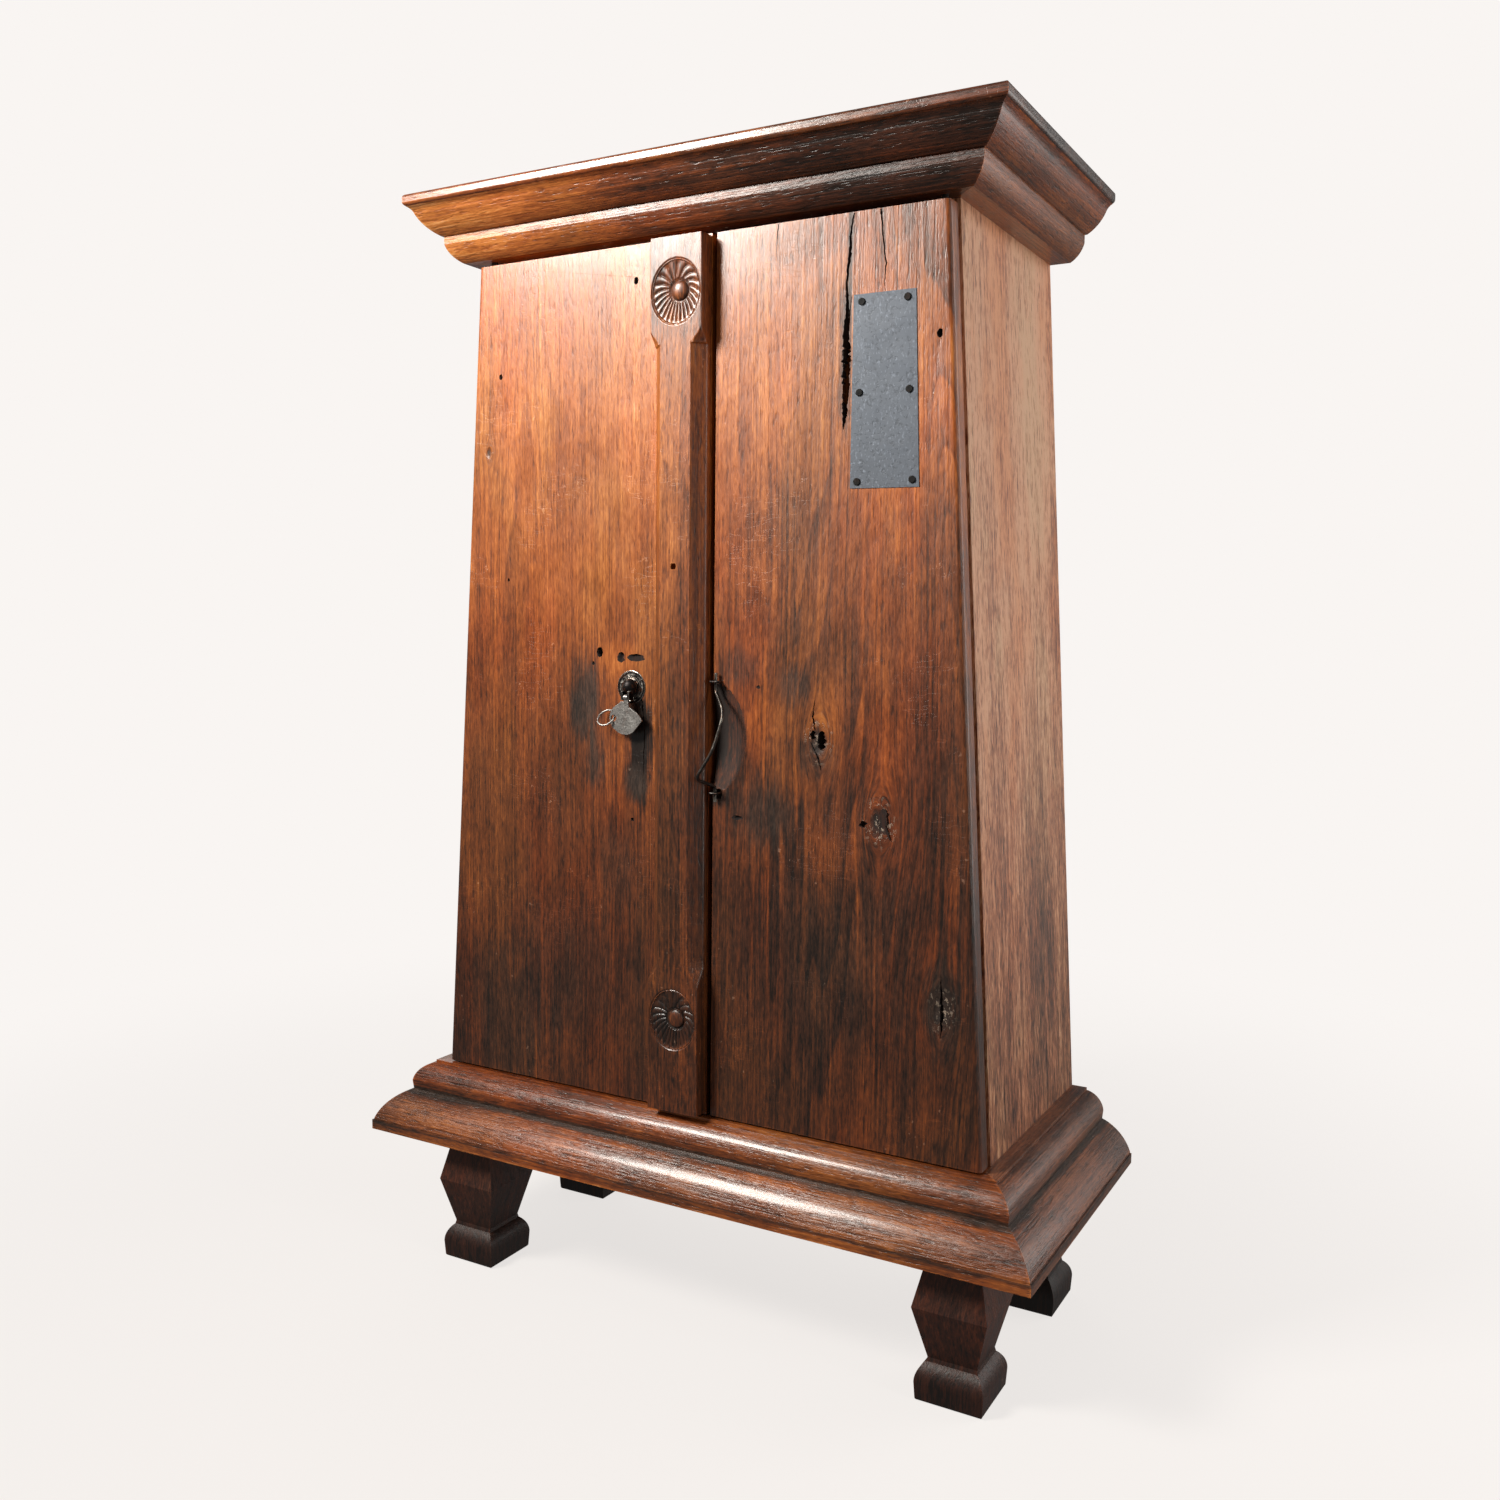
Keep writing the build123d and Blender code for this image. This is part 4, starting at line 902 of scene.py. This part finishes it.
def right_board():
    """The long shake by the patch, lesser cracks, knot hollows and holes, and the finger hollow."""
    bm = bmesh.new()
    slit(bm, [(171, 700, 0.3), (172, 712, 2.6), (173, 742, 4.0), (173, 772, 4.6), (172, 794, 3.0),
              (173.5, 812, 1.9), (172, 838, 1.2), (175, 862, 1.8), (176, 885, 1.0), (179, 899.2, 0.8)],
         13, 0.8, 11.0)
    slit(bm, [(211, 829, 0.2), (212, 850, 0.9), (209, 872, 0.7), (206, 899.2, 1.0)], 7, 0.8, 12.0)
    slit(bm, [(96, 868, 0.2), (97, 885, 0.5), (98.5, 899.2, 0.6)], 4, 0.8, 13.0)
    hole(bm, 267, 781.3, 3.4, 4.2, 6, 0.3, 14.0)
    hole(bm, 153, 402, 5.0, 9.5, 8, 0.9, 15.0)
    hole(bm, 143.5, 407, 3.4, 4.6, 5, 0.9, 16.0)
    slit(bm, [(153, 372, 0.3), (149, 386, 1.6), (141, 400, 0.6)], 3, 1.0, 17.0)
    slit(bm, [(146, 412, 0.8), (143, 424, 1.3), (145, 442, 0.2)], 2.4, 1.0, 18.0)
    hole(bm, 221, 331, 4.2, 9.0, 8, 0.9, 19.0)
    hole(bm, 199, 323, 4.6, 3.4, 5, 0.9, 20.0)
    slit(bm, [(228, 310, 0.3), (225, 318, 1.5), (221, 324, 0.8)], 3, 1.0, 21.0)
    slit(bm, [(284, 124, 0.2), (285, 146, 2.2), (284, 160, 1.6), (283, 186, 0.2)], 5, 1.0, 22.0)
    hole(bm, 36, 340.5, 5.0, 5.6, 9, 0.25, 23.0)
    hole(bm, 58, 318, 9.0, 2.4, 2.4, 0.8, 24.0)
    hole(bm, 82, 452, 4.0, 1.8, 1.0, 0.8, 25.0)
    low_x, low_z = on_door(18, 330)
    high_x, high_z = on_door(74, 466)
    hollow = (Vector((low_x, FRONT + 0.4 * MM, low_z)), Vector((high_x, FRONT + 20 * MM, high_z)))
    worn_board("right_board_worn", "right_door", "right_door", bm, hollow)


SEGMENTS = 96


def turned_shell(name, look, body, centre, profile, back, rough, seed):
    """A round piece about the Y axis from a profile of (radius, depth) rows, uneven as forged iron is."""
    bm = bmesh.new()
    rings = []
    for radius, depth in profile:
        ring = []
        for i in range(SEGMENTS):
            angle = 2 * math.pi * i / SEGMENTS
            dx, dz = radius * math.cos(angle), radius * math.sin(angle)
            lump = noise.noise(Vector((dx * 260, seed, dz * 260)))
            lump += 0.5 * noise.noise(Vector((dx * 620, seed + 3, dz * 620)))
            fade = 0.0 if radius > profile[-2][0] * 0.97 else 1.0
            grow = 1.0 + 0.03 * noise.noise(Vector((math.cos(angle) * 2, math.sin(angle) * 2, seed))) - 0.03
            y = centre.y + depth + rough * (1.0 + lump) * fade
            ring.append(bm.verts.new((centre.x + dx * grow, y, centre.z + dz * grow)))
        rings.append(ring)
    tip = bm.verts.new((centre.x, centre.y + profile[0][1] + rough, centre.z))
    for i in range(SEGMENTS):
        bm.faces.new((tip, rings[0][i], rings[0][(i + 1) % SEGMENTS]))
    for inner, outer in zip(rings, rings[1:]):
        for i in range(SEGMENTS):
            j = (i + 1) % SEGMENTS
            bm.faces.new((inner[i], outer[i], outer[j], inner[j]))
    rear = [bm.verts.new((v.co.x, centre.y + back, v.co.z)) for v in rings[-1]]
    for i in range(SEGMENTS):
        j = (i + 1) % SEGMENTS
        bm.faces.new((rings[-1][i], rear[i], rear[j], rings[-1][j]))
    bm.faces.new(list(reversed(rear)))
    return piece(name, bm, look, body, 40.0)


DOME_ROWS = 28


def latch_dome():
    """The forged boss under the drop handle: a rough dome in a dished plate with a worn raised rim."""
    low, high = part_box("latch_rosette")
    radius = (high.x - low.x) / 2
    proud = FRONT - low.y
    centre = Vector(((low.x + high.x) / 2, low.y, (low.z + high.z) / 2))
    profile = []
    for i in range(1, DOME_ROWS + 1):
        t = i / DOME_ROWS
        r = radius * t
        if t < 0.60:
            depth = proud * 0.72 * (1.0 - math.sqrt(1.0 - (t / 0.64) ** 2))
        elif t < 0.82:
            depth = proud * 0.80
        elif t < 0.97:
            depth = proud * (0.80 - 0.22 * math.sin(math.pi * (t - 0.82) / 0.15))
        else:
            depth = proud * 0.84
        profile.append((r, depth))
    made = turned_shell("latch_dome", "dome", "left_door", centre, profile, proud, 0.0004, 4.0)
    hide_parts("latch_rosette")


BODY_OF = {node: body for body, nodes in frame["record"]["behaviour"]["bodies"].items() for node in nodes}


def forged(node, look, voxel, dent, seed):
    """A hand-forged copy of an iron node: arrises rounded over, faces left uneven by the hammer.

    voxel and dent are in millimetres, and metal is only taken away.
    """
    bm = bmesh.new()
    bm.from_mesh(NODES[node].data)
    bmesh.ops.remove_doubles(bm, verts=bm.verts, dist=1e-6)
    made = piece(node + "_forged", bm, look, BODY_OF[node], 60.0)
    remesh = made.modifiers.new("remesh", "REMESH")
    remesh.mode = "VOXEL"
    remesh.voxel_size = voxel * MM
    soften = made.modifiers.new("soften", "SMOOTH")
    soften.factor = 0.5
    soften.iterations = 3
    bake_modifiers(made)
    mesh = made.data
    moved = []
    for vert in mesh.vertices:
        at = vert.co
        lump = noise.noise(Vector((at.x * 240, at.y * 240 + seed, at.z * 240)))
        lump += 0.5 * noise.noise(Vector((at.x * 700, at.y * 700 + seed, at.z * 700)))
        moved.append(at - vert.normal * dent * MM * (0.6 + 0.6 * lump))
    for vert, place in zip(mesh.vertices, moved):
        vert.co = place
    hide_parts(node)


left_board()
right_board()
latch_dome()
for seed, (node, look, voxel, dent) in enumerate([
    ("drop_handle", "bright", 0.35, 0.16),
    ("drop_ring", "bright", 0.28, 0.08),
    ("latch_spindle", "dome", 0.35, 0.16),
    ("pull_handle", "pull", 0.32, 0.12),
    ("pull_staples", "dome", 0.32, 0.08),
    ("patch_nails", "nail", 0.32, 0.10),
    ("latch_bar", "iron", 0.70, 0.20),
    ("latch_keeper", "iron", 0.50, 0.15),
    ("bolt_guides", "iron", 0.50, 0.12),
    ("top_bolt", "iron", 0.60, 0.12),
    ("bottom_bolt", "iron", 0.60, 0.12),
]):
    forged(node, look, voxel, dent, 10.0 * seed)


# ------------------------------------------------------------------ studio

PALE = (0.947, 0.913, 0.889, 1.0)           # light of the backdrop, and of the floor away from the icebox
FLOOR_PAINT = (0.88, 0.85, 0.83, 1.0)
FLOOR_GLOW = (0.3, 1.7, 0.80, 1.0)          # from and to these distances, the floor's share of glow
FLOOR_RADIUS = 14.9
BACKDROP_RADIUS = 15.0
SKY_COLOUR, SKY_STRENGTH = (1.0, 0.97, 0.94, 1.0), 0.16

# Lamps: name, place, what it points at, width and height, watts, colour, spread in degrees.
LAMPS = [
    ("key", (-0.95, -1.40, 1.80), (0.02, FRONT, 0.98), (0.60, 0.60), 20.0, (1.0, 0.95, 0.88), 100.0),
    ("side", (1.55, 1.10, 1.05), (0.25, 0.05, 0.7), (1.2, 1.9), 17.0, (1.0, 0.97, 0.94), 180.0),
    ("edge", (2.10, -0.45, 0.90), (0.33, -0.10, 0.70), (0.25, 1.6), 9.0, (1.0, 0.95, 0.88), 180.0),
    ("rear", (-1.5, 1.9, 1.6), (0.0, 0.1, 0.6), (1.4, 1.4), 10.0, (1.0, 0.97, 0.94), 180.0),
]

# The camera as fitted to the photo: its place, and the directions to its right, up and ahead.
EYE = (0.7479, -1.3204, 0.7448)
EYE_RIGHT = Vector((0.8709, 0.4913, 0.0104))
EYE_UP = Vector((-0.0556, 0.0775, 0.9954))
EYE_AHEAD = Vector((-0.4882, 0.8675, -0.0948))
SENSOR, LENS = 36.0, 32.9
CLIP_START, CLIP_END = 0.02, 60.0


def glowing(name):
    """The backdrop's even pale light."""
    g = Graph(name)
    glow = g.node("ShaderNodeEmission", {"Color": PALE, "Strength": 1.0}).outputs[0]
    g.put(g.node("ShaderNodeOutputMaterial").inputs[0], glow)
    return g.material


def floor_paint(name):
    """Pale floor that takes a soft shadow near the icebox and runs into the backdrop further out."""
    g = Graph(name)
    glow = g.node("ShaderNodeEmission", {"Color": PALE, "Strength": 1.0}).outputs[0]
    matt = g.node("ShaderNodeBsdfDiffuse", {"Color": FLOOR_PAINT}).outputs[0]
    x, y, _ = g.split(g.coords)
    far = g.math("SQRT", g.add(g.times(x, x), g.times(y, y)))
    share = g.span(far, *FLOOR_GLOW)
    mixed = g.node("ShaderNodeMixShader", {0: share, 1: matt, 2: glow}).outputs[0]
    g.put(g.node("ShaderNodeOutputMaterial").inputs[0], mixed)
    return g.material


def stage_piece(name, bm, material):
    """A piece of the studio. It shows in the picture but doesn't light the icebox."""
    mesh = bpy.data.meshes.new(name)
    bm.to_mesh(mesh)
    bm.free()
    mesh.materials.append(material)
    mesh.polygons.foreach_set("use_smooth", [True] * len(mesh.polygons))
    obj = bpy.data.objects.new(name, mesh)
    bpy.context.scene.collection.objects.link(obj)
    obj.visible_diffuse = False
    obj.visible_glossy = False
    obj.visible_shadow = False


def lamp(name, place, aim, size, watts, colour, spread):
    data = bpy.data.lights.new(name, "AREA")
    data.shape = "RECTANGLE"
    data.size, data.size_y = size
    data.energy = watts
    data.color = colour
    data.spread = math.radians(spread)
    obj = bpy.data.objects.new(name, data)
    bpy.context.scene.collection.objects.link(obj)
    obj.location = place
    obj.rotation_euler = (Vector(aim) - Vector(place)).to_track_quat("-Z", "Y").to_euler()


def studio():
    scene = bpy.context.scene
    scene.view_settings.view_transform = "Standard"
    world = bpy.data.worlds.new("studio")
    world.use_nodes = True
    sky = world.node_tree.nodes["Background"]
    sky.inputs[0].default_value = SKY_COLOUR
    sky.inputs[1].default_value = SKY_STRENGTH
    scene.world = world

    bm = bmesh.new()
    bmesh.ops.create_uvsphere(bm, u_segments=48, v_segments=24, radius=BACKDROP_RADIUS)
    bmesh.ops.reverse_faces(bm, faces=bm.faces)
    stage_piece("backdrop", bm, glowing("backdrop_paint"))
    bm = bmesh.new()
    bmesh.ops.create_circle(bm, cap_ends=True, segments=96, radius=FLOOR_RADIUS)
    stage_piece("floor", bm, floor_paint("floor_paint"))

    for row in LAMPS:
        lamp(*row)

    camera = bpy.data.cameras.new("camera")
    camera.sensor_width = SENSOR
    camera.lens = LENS
    camera.clip_start = CLIP_START
    camera.clip_end = CLIP_END
    eye = bpy.data.objects.new("camera", camera)
    scene.collection.objects.link(eye)
    turn = Matrix((EYE_RIGHT, EYE_UP, -EYE_AHEAD)).transposed().to_4x4()
    eye.matrix_world = Matrix.Translation(EYE) @ turn
    scene.camera = eye


studio()
